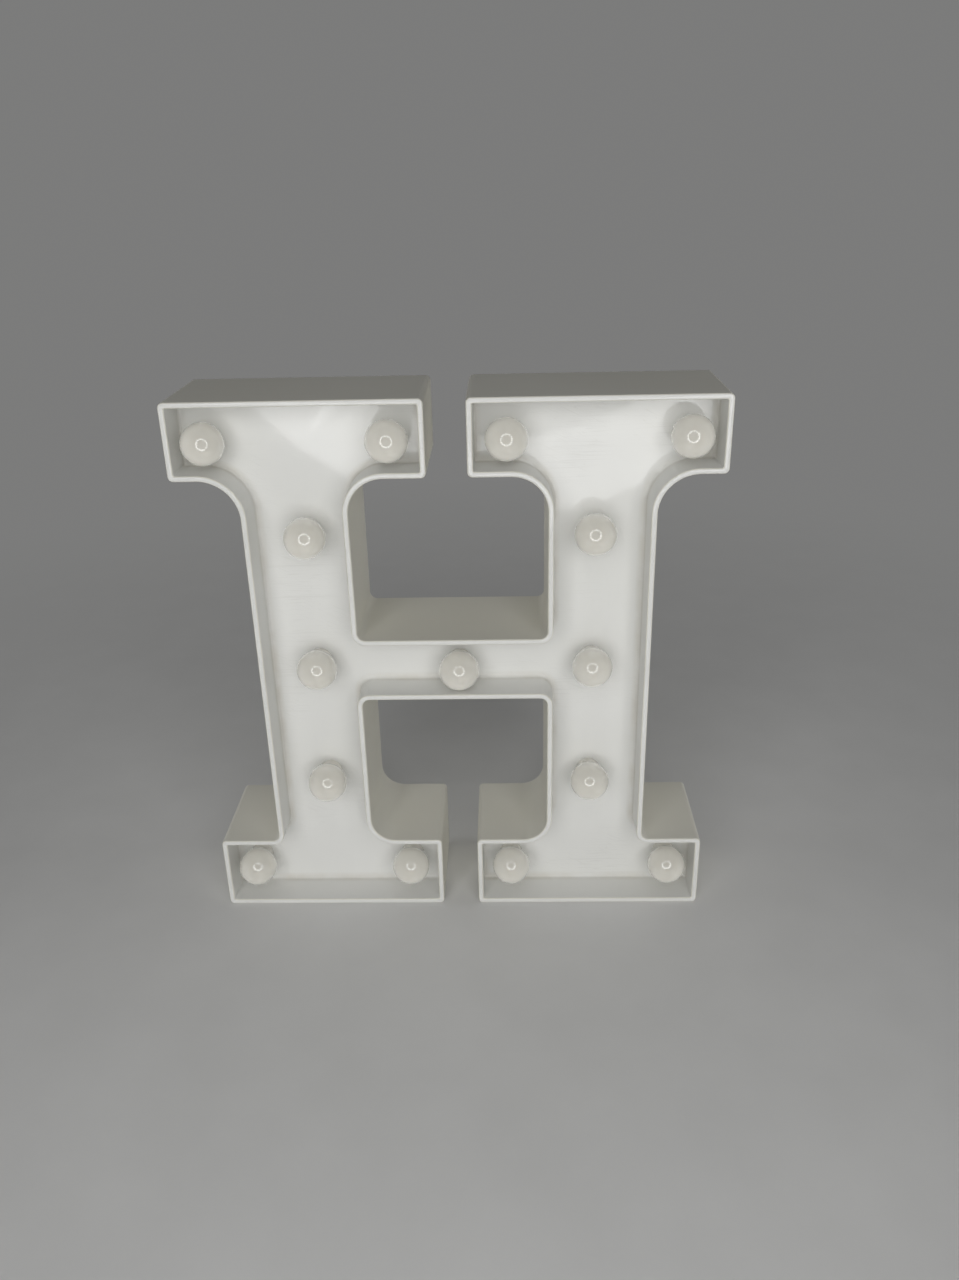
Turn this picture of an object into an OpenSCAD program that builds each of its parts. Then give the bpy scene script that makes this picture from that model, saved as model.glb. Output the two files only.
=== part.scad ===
// Free-standing light-up letter H with slab serifs. A tray-shaped shell carries frosted globe bulbs,
// each lit by its own LED from behind. An inset rear cover holds two AA cells and a slide switch.
// Front looks along -Y, +Z is up, and the origin is under the middle of the letter on its base plane.

/* [Letter outline] */
// Height of the letter
letter_h = 220; // [190:1:260]
// Width over the serifs
letter_w = 204; // [190:1:240]
// Clear gap between the left and right serifs
serif_gap = 15; // [8:0.5:24]
// Height of the top serifs
top_serif_h = 29; // [26:0.5:38]
// Height of the bottom serifs
bottom_serif_h = 33; // [26:0.5:42]
// Width of each stem
stem_w = 40; // [38:0.5:48]
// Distance between the centre lines of the two stems
stem_pitch = 114; // [106:1:122]
// Height of the crossbar
bar_h = 26; // [24:0.5:36]
// Height of the crossbar's centre line above the base
bar_z = 113.4; // [100:0.2:126]

/* [Outline radii] */
// Fillet between a top serif and the outer side of its stem
top_outer_r = 15; // [2:0.5:18]
// Fillet between a top serif and the inner side of its stem
top_inner_r = 13.5; // [2:0.5:16]
// Fillet between a bottom serif and the outer side of its stem
bottom_outer_r = 3; // [1:0.5:12]
// Fillet between a bottom serif and the inner side of its stem
bottom_inner_r = 10; // [1:0.5:16]
// Fillet between the crossbar and the stems
bar_r = 3; // [1:0.5:10]
// Radius of the serifs' outer corners
corner_r = 2; // [0.8:0.1:4]
// Least radius of an inside corner of the shell
inner_corner_r = 0.6; // [0.3:0.1:1.2]

/* [Shell] */
// Depth of the letter from the rim to the back
body_d = 45; // [44:0.5:60]
// Thickness of the outer walls
wall = 2.2; // [1.8:0.1:2.8]
// Depth of the face behind the rim
recess = 15.5; // [12:0.5:16]
// Thickness of the face
face_t = 2; // [1.5:0.1:2.5]
// Width of the ledge in the wall that carries the rear cover
ledge_w = 1; // [0.6:0.1:1.2]

/* [Bulbs] */
// Diameter of a globe bulb
bulb_d = 16; // [12:0.5:18]
// Distance from the face to the middle of the globe
bulb_stand = 10.5; // [9:0.5:14]
// Wall thickness of a globe
bulb_wall = 1.2; // [0.8:0.1:1.6]
// Diameter of the neck that passes through the face
neck_d = 8.6; // [8:0.1:9]
// Width of the neck's shoulder that seats on the face
collar_w = 0.5; // [0.4:0.1:1]
// Width of the snap lip behind the face
lip_w = 0.4; // [0.3:0.05:0.6]
// Thickness of the snap lip
lip_t = 1; // [0.6:0.1:1.4]
// Distance from a serif's outer end to its outer bulb
outer_bulb_inset = 13; // [12:0.5:18]
// Distance from a serif's inner end to its inner bulb
inner_bulb_inset = 14.3; // [12:0.1:20]
// Drop of the top bulbs below the middle of their serif
top_bulb_drop = 1.7; // [0:0.1:2]
// Offset of the stem bulbs from the stem's centre line towards the middle
stem_bulb_shift = 2.1; // [0:0.1:3]
// Rise of the upper stem bulb above the middle one
upper_bulb_rise = 55.3; // [45:0.1:60]
// Drop of the lower stem bulb below the middle one
lower_bulb_drop = 52.7; // [45:0.1:60]
// Rise of the middle stem bulbs above the crossbar's bulb
middle_bulb_rise = 0.8; // [0:0.1:1.2]
// Sideways offset of the crossbar's bulb
bar_bulb_shift = 2; // [0:0.1:6]

/* [LEDs and wiring] */
// Diameter of an LED
led_d = 5; // [3:0.1:5]
// Length of an LED without its leads
led_l = 8.6; // [6:0.1:9]
// Diameter of the LED's flange
led_flange_d = 5.8; // [5.6:0.1:6.2]
// Thickness of the LED's flange
led_flange_t = 1; // [0.8:0.1:1.2]
// Distance between the two leads of an LED
lead_pitch = 2.54; // [2:0.01:2.6]
// Diameter of an LED's leads
lead_d = 0.5; // [0.4:0.05:0.6]
// Diameter of the glue bead round an LED
glue_d = 8; // [7.6:0.1:8.4]
// Height of the glue bead
glue_h = 1.6; // [1.4:0.1:2]
// Diameter of an insulated wire
wire_d = 1.2; // [0.8:0.1:1.4]
// Radius of the bend in the switch's lead, to the middle of the wire
wire_bend_r = 3; // [2:0.5:4]
// Distance from an LED's flange to the middle of the supply wire
supply_wire_stand = 2.2; // [2:0.1:2.6]
// Distance between the levels of the supply and return wires
wire_step = 2.2; // [2:0.1:2.4]
// Diameter of the resistor's body
resistor_d = 2.2; // [1.6:0.1:2.4]
// Length of the resistor's body
resistor_l = 5.5; // [4:0.1:6]

/* [Rear cover] */
// Thickness of the rear cover
cover_t = 2; // [1.6:0.1:2.4]
// Diameter of a keyhole's entry
keyhole_d = 8; // [7:0.1:9]
// Width of a keyhole's slot
keyhole_slot_w = 4.2; // [3.6:0.1:5]
// Rise from the keyhole's entry to the end of its slot
keyhole_rise = 7.5; // [6:0.1:8]
// Height of the keyholes' entries above the middle of the top serifs
keyhole_lift = -4.5; // [-6:0.1:-3]

/* [Battery compartment] */
// Diameter of an AA cell
cell_d = 14.5; // [13.5:0.1:14.5]
// Length of an AA cell with its nub
cell_l = 50.5; // [49:0.1:51]
// Diameter of the cell's nub
nub_d = 5.5; // [4.2:0.1:5.5]
// Length of the cell's nub
nub_l = 1.3; // [1:0.1:1.6]
// Height of the middle of the compartment above the base
battery_z = 95; // [90:0.5:104]
// Wall thickness of the battery tub
tub_wall = 1.5; // [1.2:0.1:1.6]
// Length that the cover reaches over the compartment to hold the door's hooks
hook_lip = 3; // [2.8:0.1:4]
// Length of a door hook under the cover
hook_reach = 2; // [1.6:0.1:2.2]
// Width of a door hook
hook_w = 1.8; // [1.4:0.1:2]
// Thickness of a door hook's foot
hook_t = 1.4; // [1:0.1:1.4]
// Width of the door's latch tongue
tongue_w = 9; // [7:0.5:12]
// Length of the door's latch tongue
tongue_l = 13; // [12:0.5:18]
// Width of the slots beside the tongue
tongue_slot_w = 1; // [0.8:0.1:1.4]
// Depth of the thumb grooves in the tongue
groove_t = 0.7; // [0.4:0.1:0.8]
// Width of a thumb groove
groove_w = 1.4; // [1:0.1:1.8]
// Distance between the thumb grooves
groove_pitch = 2.5; // [2.2:0.1:3]
// Thickness of the contact plates
plate_t = 0.4; // [0.3:0.05:0.5]
// Width of a contact plate
plate_w = 10; // [9:0.5:12]
// Height of a contact plate
plate_h = 11; // [10:0.1:11.4]
// Height of the raised spot on a positive contact
spot_h = 1; // [0.6:0.1:1.4]
// Length of a contact spring with the cell in place
spring_l = 5.5; // [5:0.1:6.5]
// Diameter of a contact spring at its base, to the middle of the wire
spring_base_d = 9; // [8:0.1:9.4]
// Diameter of a contact spring at the cell, to the middle of the wire
spring_tip_d = 5.6; // [5:0.1:6]
// Diameter of the spring wire
spring_wire_d = 0.7; // [0.6:0.05:0.8]
// Number of turns of a contact spring
spring_turns = 3.5; // [3:0.5:4]

/* [Switch] */
// Height of the middle of the switch above the base
switch_z = 152; // [150:0.5:160]
// Travel of the switch's slider
switch_travel = 4; // [3:0.1:4.4]
// Width of the slider's knob
knob_w = 3; // [2.4:0.1:3.4]
// Length of the slider's knob
knob_l = 4; // [3:0.1:4.4]
// Distance from the back of the letter to the end of the knob
knob_sink = 0.5; // [0.3:0.1:1]
// Number of grip grooves across the end of the knob
grip_count = 3; // [2:1:4]
// Depth of a grip groove
grip_depth = 0.35; // [0.2:0.05:0.4]
// Width of the switch's can
can_w = 7; // [6.6:0.1:8]
// Depth of the switch's can
can_d = 5.2; // [5:0.1:6]
// Thickness of the can's sheet
can_t = 0.8; // [0.6:0.05:0.9]
// Length of the ears on each end of the can
ear_l = 4.4; // [4.2:0.1:6]
// Depth of the finger pocket round the knob
pocket_d = 2.5; // [2:0.1:2.6]
// Thickness of the pad that carries the switch, in front of the cover
pad_t = 2; // [1.8:0.1:2.4]
// Length of the switch's terminals
terminal_l = 3; // [2:0.1:3.4]
// Distance between the switch's terminals
terminal_pitch = 4; // [3.6:0.1:4.4]

/* [Fasteners] */
// Core diameter of a cover screw
screw_d = 2.2; // [1.8:0.1:2.4]
// Length of a cover screw under its head
screw_l = 10; // [8:0.5:14]
// Diameter of a cover screw's head
head_d = 5; // [4:0.1:5.2]
// Height of a cover screw's head
head_h = 1.7; // [1.2:0.1:1.8]
// Diameter of a screw boss in the shell
boss_d = 7; // [6.4:0.1:7.6]
// Distance from the shell's inner walls to the middle of a boss
boss_inset = 3; // [2.6:0.1:3.2]
// Wall of a screw well round the screw's head
well_wall = 1.5; // [1.2:0.1:2]
// Depth of a screw well in front of the cover
well_t = 2; // [1.6:0.1:2.4]
// Distance from the back of the letter to a screw's head
head_sink = 0.3; // [0.1:0.1:0.6]
// Core diameter of a switch screw
small_screw_d = 1.6; // [1.4:0.1:1.8]
// Length of a switch screw under its head
small_screw_l = 3.2; // [2.8:0.1:3.6]
// Diameter of a switch screw's head
small_head_d = 3.2; // [2.8:0.1:3.4]
// Height of a switch screw's head
small_head_h = 1; // [0.8:0.1:1.2]

/* [Clearances] */
// Gap between the rear cover's edge and the wall
cover_gap = 0.2; // [0.1:0.05:0.3]
// Radial gap round necks, screws and LEDs
hole_gap = 0.15; // [0.05:0.01:0.2]
// Gap between the crossbar's bulb and the wall below it
bulb_wall_gap = 0.4; // [0.3:0.1:1]
// Gap round the battery door
door_gap = 0.3; // [0.25:0.05:0.4]
// Gap round a cell
cell_gap = 0.4; // [0.3:0.05:0.5]
// Gap round the moving slider
slide_gap = 0.3; // [0.25:0.05:0.4]
// Small gap between a contact and a cell
touch_gap = 0.1; // [0.05:0.01:0.2]

/* [Hidden] */
$fn = 64;
cut_over = 1;
bite = 0.5;

// Levels along the depth, from the rim at the front to the back face
bulb_proud = max(0, bulb_stand + bulb_d / 2 - recess);
y_rim = bulb_proud - (body_d + bulb_proud) / 2;
y_face = y_rim + recess;
y_face_back = y_face + face_t;
y_back = y_rim + body_d;
y_cover = y_back - cover_t;
y_neck_end = y_face_back + hole_gap + lip_t;
y_supply = y_neck_end + led_flange_t + supply_wire_stand;
y_return = y_supply + wire_step;

// Bulbs and LEDs
bore_spare = 2;
lead_room = 0.4;

// Outline
stem_x = stem_pitch / 2;
serif_in = serif_gap / 2;
serif_out = letter_w / 2;
top_serif_z = letter_h - top_serif_h;
bar_low = bar_z - bar_h / 2;
bar_top = bar_z + bar_h / 2;
cover_inset = wall - ledge_w + cover_gap;

// Places of the bulbs
x_outer = serif_out - outer_bulb_inset;
x_inner = serif_in + inner_bulb_inset;
x_stem = stem_x - stem_bulb_shift;
z_top = letter_h - top_serif_h / 2 - top_bulb_drop;
z_bottom = bottom_serif_h / 2;
z_bar = bar_low + wall + bulb_wall_gap + bulb_d / 2;
z_middle = z_bar + middle_bulb_rise;
z_upper = z_middle + upper_bulb_rise;
z_lower = z_middle - lower_bulb_drop;

// Each bulb's place in x and z, and the direction from the return lead of its LED to the supply lead
UPRIGHT = [0, 1];
UPSIDE_DOWN = [0, -1];
SIDEWAYS = [1, 0];
BULBS = concat(
    [for (x = [-x_outer, -x_inner, x_inner, x_outer]) [x, z_top, UPRIGHT]],
    [for (z = [z_upper, z_middle, z_lower]) for (x = [-x_stem, x_stem]) [x, z, SIDEWAYS]],
    [[bar_bulb_shift, z_bar, UPSIDE_DOWN]],
    [for (x = [-x_outer, -x_inner, x_inner, x_outer]) [x, z_bottom, UPRIGHT]]
);
BULB_COUNT = len(BULBS);
function numbered(name, i) = str(name, i < 9 ? "_0" : "_", i + 1);

// Screws that hold the rear cover, one in each corner of the letter's four ends
corner_inset = wall + boss_inset;
SCREWS = [
    for (side = [-1, 1])
        for (x = [serif_in + corner_inset, serif_out - corner_inset])
            for (z = [corner_inset, letter_h - corner_inset])
                [side * x, z]
];
well_d = head_d + 2 * hole_gap + 2 * well_wall;
y_seat = y_back - head_sink - head_h;
y_boss_end = y_cover - well_t;
pilot_spare = 2;
pilot_end = y_seat - screw_l - pilot_spare;

// Battery compartment
cell_half = cell_d / 2 + cell_gap / 2;
tub_half = cell_d + cell_gap * 1.5;
y_door = y_cover + door_gap;
y_cell = y_cover - door_gap - cell_d / 2;
y_tub_floor = y_cell - cell_d / 2 - cell_gap;
tub_len = 2 * plate_t + spring_l + cell_l + spot_h + touch_gap * 2;
tub_low = battery_z - tub_len / 2;
tub_top = battery_z + tub_len / 2;
door_ledge = tub_wall - door_gap;
door_low = tub_low + hook_lip;
door_top = tub_top + door_ledge;
door_half = tub_half + door_ledge;
hook_gap = 0.6;
y_hook_top = y_cover - hook_gap;
y_hook = y_hook_top - hook_t;
y_plate = y_tub_floor + bite;
tab_w = 3;
tab_l = 4;
y_tab = y_back - cover_t - pad_t - can_d - can_t - terminal_l - wire_d / 2;
slot_gap = 0.4;
spot_d = 4.4;
spring_path_l = spring_l - spring_wire_d;

// Switch
x_switch = x_stem + lead_pitch / 2;
y_pad = y_cover - pad_t;
y_can = y_pad - can_t - can_d;
base_over = 1.5;
base_l = knob_l + 2 * base_over;
base_t = 2;
base_w = can_w - 2 * can_t - 2 * slide_gap;
cavity_half_l = (switch_travel + base_l) / 2 + slide_gap;
can_half_l = cavity_half_l + can_t;
y_base = y_pad - can_t - slide_gap - base_t;
slot_half_l = (switch_travel + knob_l) / 2 + slide_gap;
grip_pitch = knob_l / (grip_count + 1);
square_sides = 4;
ear_half_l = can_half_l + ear_l;
ear_screw_z = can_half_l + ear_l / 2;
pad_margin = 2;
pad_half_l = ear_half_l + pad_margin;
pad_w = can_w + 2 * pad_margin;
pocket_margin = 2.5;
pocket_w = knob_w + 2 * pocket_margin;
pocket_half_l = slot_half_l + pocket_margin;
terminal_w = 1.6;
terminal_t = 0.5;

// Colours
WHITE = [0.93, 0.93, 0.91];
MILK = [0.88, 0.87, 0.83];
STEEL = [0.72, 0.72, 0.70];
BLACK = [0.08, 0.08, 0.08];
RED = [0.70, 0.08, 0.06];
CLEAR = [0.95, 0.93, 0.82];
GLUE = [0.90, 0.88, 0.78];
TAN = [0.82, 0.72, 0.52];
CELL = [0.30, 0.32, 0.34];

// Solid between two levels of depth, from an outline drawn in x and z
module between(y0, y1) {
    translate([0, y1, 0])
        rotate([90, 0, 0])
            linear_extrude(y1 - y0)
                children();
}

// Round bar along the depth at a place in x and z
module rod_y(x, z, d, y0, y1) {
    translate([x, y0, z])
        rotate([-90, 0, 0])
            cylinder(d = d, h = y1 - y0);
}

// Round bar along the width
module rod_x(y, z, d, x0, x1) {
    translate([x0, y, z])
        rotate([0, 90, 0])
            cylinder(d = d, h = x1 - x0);
}

// Upright round bar
module rod_z(x, y, d, z0, z1) {
    translate([x, y, z0])
        cylinder(d = d, h = z1 - z0);
}

// Block between two opposite corners
module block(low, high) {
    translate(low)
        cube(high - low);
}

// Rectangle in x and z with round corners
module round_rect(x0, x1, z0, z1, r) {
    translate([x0 + r, z0])
        square([x1 - x0 - 2 * r, z1 - z0]);
    translate([x0, z0 + r])
        square([x1 - x0, z1 - z0 - 2 * r]);
    for (x = [x0 + r, x1 - r])
        for (z = [z0 + r, z1 - r])
            translate([x, z])
                circle(r);
}

// Material that fills a hollow corner with an arc about the given centre
module fillet(x, z, x_dir, z_dir, r) {
    size = r + cut_over;
    translate([x, z])
        difference() {
            translate([x_dir > 0 ? 0 : -size, z_dir > 0 ? 0 : -size])
                square(size);
            circle(r);
        }
}

// One half of the letter's outline, moved inwards by an inset
module half_letter(inset) {
    corner = max(corner_r - inset, inner_corner_r);
    side_in = stem_x - stem_w / 2;
    side_out = stem_x + stem_w / 2;
    round_rect(serif_in + inset, serif_out - inset, top_serif_z + inset, letter_h - inset, corner);
    round_rect(serif_in + inset, serif_out - inset, inset, bottom_serif_h - inset, corner);
    translate([side_in + inset, bottom_serif_h / 2])
        square([stem_w - 2 * inset, letter_h - (bottom_serif_h + top_serif_h) / 2]);
    fillet(side_out + top_outer_r, top_serif_z - top_outer_r, -1, 1, top_outer_r + inset);
    fillet(side_in - top_inner_r, top_serif_z - top_inner_r, 1, 1, top_inner_r + inset);
    fillet(side_out + bottom_outer_r, bottom_serif_h + bottom_outer_r, -1, -1, bottom_outer_r + inset);
    fillet(side_in - bottom_inner_r, bottom_serif_h + bottom_inner_r, 1, -1, bottom_inner_r + inset);
    fillet(side_in - bar_r, bar_top + bar_r, 1, -1, bar_r + inset);
    fillet(side_in - bar_r, bar_low - bar_r, 1, 1, bar_r + inset);
}

// The whole outline of the letter, moved inwards by an inset
module letter(inset) {
    half_letter(inset);
    mirror([1, 0])
        half_letter(inset);
    translate([-stem_x, bar_low + inset])
        square([stem_pitch, bar_h - 2 * inset]);
}

// Tray with a rim, a recessed face with bulb holes, and screw bosses behind the face
module front_shell() {
    color(WHITE)
        difference() {
            union() {
                difference() {
                    between(y_rim, y_back) letter(0);
                    between(y_rim - cut_over, y_face) letter(wall);
                    between(y_face_back, y_back + cut_over) letter(wall);
                    between(y_cover, y_back + cut_over) letter(wall - ledge_w);
                }
                for (p = SCREWS)
                    rod_y(p[0], p[1], boss_d, y_face_back - bite, y_boss_end);
            }
            for (p = SCREWS)
                rod_y(p[0], p[1], screw_d + 2 * hole_gap, pilot_end, y_boss_end + cut_over);
            for (b = BULBS)
                rod_y(b[0], b[1], neck_d + 2 * hole_gap, y_face - cut_over, y_face_back + cut_over);
        }
}

// Hollow frosted globe on a shoulder, with a neck that snaps into the face and a bore for the LED
module bulb(i) {
    place = BULBS[i];
    y_globe = y_face - bulb_stand;
    y_bore_end = y_neck_end - led_l - bore_spare;
    color(MILK)
        difference() {
            union() {
                translate([place[0], y_globe, place[1]])
                    sphere(d = bulb_d);
                rod_y(place[0], place[1], neck_d + 2 * collar_w, y_globe, y_face);
                rod_y(place[0], place[1], neck_d, y_face - bite, y_neck_end);
                rod_y(place[0], place[1], neck_d + 2 * lip_w, y_face_back + hole_gap, y_neck_end);
            }
            translate([place[0], y_globe, place[1]])
                sphere(d = bulb_d - 2 * bulb_wall);
            rod_y(place[0], place[1], led_d + 2 * hole_gap, y_bore_end, y_neck_end + cut_over);
        }
}

// Round-nosed LED with a flange against the neck and two leads that end on the wires
module led(i) {
    place = BULBS[i];
    y_flange_end = y_neck_end + led_flange_t;
    y_nose = y_flange_end - led_l + led_d / 2;
    to_lead = place[2] * lead_pitch / 2;
    color(CLEAR)
        union() {
            rod_y(place[0], place[1], led_flange_d, y_neck_end, y_flange_end);
            rod_y(place[0], place[1], led_d, y_nose, y_neck_end + bite);
            translate([place[0], y_nose, place[1]])
                sphere(d = led_d);
            rod_y(place[0] + to_lead[0], place[1] + to_lead[1], lead_d,
                  y_flange_end - bite, y_supply - wire_d / 2);
            rod_y(place[0] - to_lead[0], place[1] - to_lead[1], lead_d,
                  y_flange_end - bite, y_return - wire_d / 2);
        }
}

// Hot-melt rings that hold the LEDs' flanges on the necks
module led_glue_beads() {
    inner_r = led_flange_d / 2 + hole_gap / 3;
    grip_r = lead_pitch / 2 + lead_d / 2 + lead_room;
    color(GLUE)
        for (b = BULBS)
            translate([b[0], y_neck_end, b[1]])
                rotate([-90, 0, 0])
                    rotate_extrude()
                        polygon([
                            [inner_r, 0],
                            [glue_d / 2, 0],
                            [glue_d / 2 - glue_h / 2, glue_h],
                            [grip_r, glue_h],
                            [grip_r, led_flange_t],
                            [inner_r, led_flange_t]
                        ]);
}

// Run of wire along serifs, stems and crossbar at one level, on one side of the LEDs' middles
module wire_runs(y, side) {
    shift = side * lead_pitch / 2;
    for (z = [z_top, z_bottom])
        for (mirrored = [-1, 1])
            rod_x(y, z + shift, wire_d,
                  mirrored > 0 ? x_inner : -x_outer, mirrored > 0 ? x_outer : -x_inner);
    for (x = [-x_stem, x_stem])
        rod_z(x + shift, y, wire_d, z_bottom + shift, z_top + shift);
    rod_x(y, z_bar - shift, wire_d, -x_stem + shift, x_stem + shift);
}

// Red wire from the resistor to every LED
module supply_wires() {
    color(RED)
        wire_runs(y_supply, 1);
}

// Black wire from every LED to the negative contact
module return_wires() {
    x_tab = stem_x - cell_half;
    z_drop = tub_top + tub_wall + tab_l + wire_d / 2;
    x_run = x_stem - lead_pitch / 2;
    color(BLACK)
        union() {
            wire_runs(y_return, -1);
            rod_y(x_tab, z_drop, wire_d, y_return, y_tab + wire_d / 2);
            rod_x(y_return, z_drop, wire_d, x_tab, x_run);
        }
}

// Red wire from the positive contact to the switch
module switch_lead() {
    x_tab = stem_x + cell_half;
    z_end = switch_z - terminal_pitch;
    color(RED)
        union() {
            rod_z(x_tab, y_tab, wire_d, tub_top + tub_wall + tab_l, z_end - wire_bend_r);
            translate([x_tab - wire_bend_r, y_tab, z_end - wire_bend_r])
                rotate([90, 0, 0])
                    rotate_extrude(angle = 90)
                        translate([wire_bend_r, 0])
                            circle(d = wire_d);
            rod_x(y_tab, z_end, wire_d, x_switch - wire_d / 2, x_tab - wire_bend_r);
        }
}

// Current-limiting resistor between the switch and the supply wire
module resistor() {
    y_low = y_supply + wire_d / 2;
    y_high = y_can - terminal_l;
    y_middle = (y_low + y_high) / 2;
    color(TAN)
        union() {
            rod_y(x_switch, switch_z, lead_d, y_low, y_high);
            rod_y(x_switch, switch_z, resistor_d, y_middle - resistor_l / 2, y_middle + resistor_l / 2);
        }
}

// Round hole with a narrow slot above it, to hang the letter on a nail
module keyhole(x, z) {
    translate([x, z])
        circle(d = keyhole_d);
    translate([x - keyhole_slot_w / 2, z])
        square([keyhole_slot_w, keyhole_rise]);
    translate([x, z + keyhole_rise])
        circle(d = keyhole_slot_w);
}

// Walls and floor of the battery compartment, in front of the cover
module battery_tub() {
    outer_half = tub_half + tub_wall;
    x_tabs = [stem_x - cell_half, stem_x + cell_half];
    difference() {
        block([stem_x - outer_half, y_tub_floor - tub_wall, tub_low - tub_wall],
              [stem_x + outer_half, y_cover + bite, tub_top + tub_wall]);
        block([stem_x - tub_half, y_tub_floor, tub_low],
              [stem_x + tub_half, y_cover, tub_top]);
        for (x = x_tabs)
            block([x - tab_w / 2 - slot_gap, y_tab - plate_t / 2 - slot_gap, tub_top - cut_over],
                  [x + tab_w / 2 + slot_gap, y_tab + plate_t / 2 + slot_gap, tub_top + tub_wall + cut_over]);
    }
}

// Inset back panel with the battery tub, switch pad, screw wells and hanging keyholes
module rear_cover() {
    color(WHITE)
        difference() {
            union() {
                between(y_cover, y_back) letter(cover_inset);
                between(y_boss_end, y_cover + bite)
                    intersection() {
                        letter(wall + cover_gap);
                        for (p = SCREWS)
                            translate(p)
                                circle(d = well_d);
                    }
                battery_tub();
                block([x_switch - pad_w / 2, y_pad, switch_z - pad_half_l],
                      [x_switch + pad_w / 2, y_cover + bite, switch_z + pad_half_l]);
            }
            for (p = SCREWS) {
                rod_y(p[0], p[1], screw_d + 2 * hole_gap, y_boss_end - cut_over, y_back + cut_over);
                rod_y(p[0], p[1], head_d + 2 * hole_gap, y_seat, y_back + cut_over);
            }
            between(y_cover - cut_over, y_back + cut_over)
                for (x = [-stem_x, stem_x])
                    keyhole(x, letter_h - top_serif_h / 2 + keyhole_lift);
            block([stem_x - door_half, y_cover, door_low],
                  [stem_x + door_half, y_back + cut_over, door_top]);
            block([x_switch - pocket_w / 2, y_back - pocket_d, switch_z - pocket_half_l],
                  [x_switch + pocket_w / 2, y_back + cut_over, switch_z + pocket_half_l]);
            block([x_switch - knob_w / 2 - slide_gap, y_pad - cut_over, switch_z - slot_half_l],
                  [x_switch + knob_w / 2 + slide_gap, y_back, switch_z + slot_half_l]);
            for (side = [-1, 1])
                rod_y(x_switch, switch_z + side * ear_screw_z, small_screw_d + 2 * hole_gap,
                      y_pad - cut_over, y_pad + small_screw_l);
        }
}

// Snap-on lid of the battery compartment, with two hooks and a sprung latch tongue
module battery_door() {
    edge_low = door_low + door_gap;
    edge_top = door_top - door_gap;
    half = door_half - door_gap;
    groove_half = tongue_w / 2 - tongue_slot_w;
    color(WHITE)
        difference() {
            union() {
                block([stem_x - half, y_door, edge_low], [stem_x + half, y_back, edge_top]);
                for (side = [-1, 1]) {
                    x = stem_x + side * (tub_half - door_gap - hook_w / 2);
                    block([x - hook_w / 2, y_hook, door_low - hook_reach],
                          [x + hook_w / 2, y_hook_top, edge_low + hook_t]);
                    block([x - hook_w / 2, y_hook, edge_low],
                          [x + hook_w / 2, y_door + bite, edge_low + hook_t]);
                }
            }
            for (side = [-1, 1]) {
                x = stem_x + side * (tongue_w + tongue_slot_w) / 2;
                block([x - tongue_slot_w / 2, y_door - cut_over, edge_top - tongue_l],
                      [x + tongue_slot_w / 2, y_back + cut_over, edge_top + cut_over]);
            }
            for (step = [1 : 3]) {
                z = edge_top - step * groove_pitch;
                block([stem_x - groove_half, y_back - groove_t, z],
                      [stem_x + groove_half, y_back + cut_over, z + groove_w]);
            }
        }
}

// Pan-head screw along +Y: its head is at the given level, its point towards the front
module screw(x, z, y_head, d, l, head, head_t) {
    drive_w = head / 5;
    drive_l = head * 3 / 5;
    y_drive = y_head + head_t / 2;
    difference() {
        union() {
            rod_y(x, z, d, y_head - l, y_head + bite);
            rod_y(x, z, head, y_head, y_head + head_t);
        }
        for (size = [[drive_w, drive_l], [drive_l, drive_w]])
            block([x - size[0] / 2, y_drive, z - size[1] / 2],
                  [x + size[0] / 2, y_head + head_t + cut_over, z + size[1] / 2]);
    }
}

// Screws that hold the rear cover on the shell's bosses
module cover_screws() {
    color(STEEL)
        for (p = SCREWS)
            screw(p[0], p[1], y_seat, screw_d, screw_l, head_d, head_h);
}

// AA cell standing on its flat end, with its nub up
module cell() {
    body_l = cell_l - nub_l;
    crimp = 1;
    rotate_extrude()
        polygon([
            [0, 0],
            [cell_d / 2 - crimp / 2, 0],
            [cell_d / 2, crimp / 2],
            [cell_d / 2, body_l - crimp],
            [cell_d / 2 - crimp, body_l],
            [nub_d / 2, body_l],
            [nub_d / 2, cell_l],
            [0, cell_l]
        ]);
}

// Cell with its flat end at the top, against the negative contact
module cell_left() {
    color(CELL)
        translate([stem_x - cell_half, y_cell, tub_low + plate_t + spot_h + touch_gap + cell_l])
            rotate([180, 0, 0])
                cell();
}

// Cell with its nub at the top, against the positive contact
module cell_right() {
    color(CELL)
        translate([stem_x + cell_half, y_cell, tub_low + plate_t + spring_l + touch_gap])
            cell();
}

// Contact plate at the top end of the compartment with a solder tab through its wall
module top_plate(x) {
    block([x - plate_w / 2, y_plate, tub_top - plate_t], [x + plate_w / 2, y_plate + plate_h, tub_top]);
    block([x - tab_w / 2, y_tab - plate_t / 2, tub_top - plate_t],
          [x + tab_w / 2, y_tab + plate_t / 2, tub_top + tub_wall + tab_l]);
}

// Plate with a raised spot for the right cell's nub
module contact_positive() {
    x = stem_x + cell_half;
    color(STEEL)
        union() {
            top_plate(x);
            rod_z(x, y_cell, spot_d, tub_top - plate_t - spot_h, tub_top - plate_t / 2);
        }
}

// Plate behind the left cell's spring
module contact_negative() {
    color(STEEL)
        top_plate(stem_x - cell_half);
}

// Plate that joins the two cells at the bottom end, with a raised spot for the left cell's nub
module contact_bridge() {
    half = cell_half + plate_w / 2;
    color(STEEL)
        union() {
            block([stem_x - half, y_plate, tub_low], [stem_x + half, y_plate + plate_h, tub_low + plate_t]);
            rod_z(stem_x - cell_half, y_cell, spot_d, tub_low + plate_t / 2, tub_low + plate_t + spot_h);
        }
}

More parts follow.
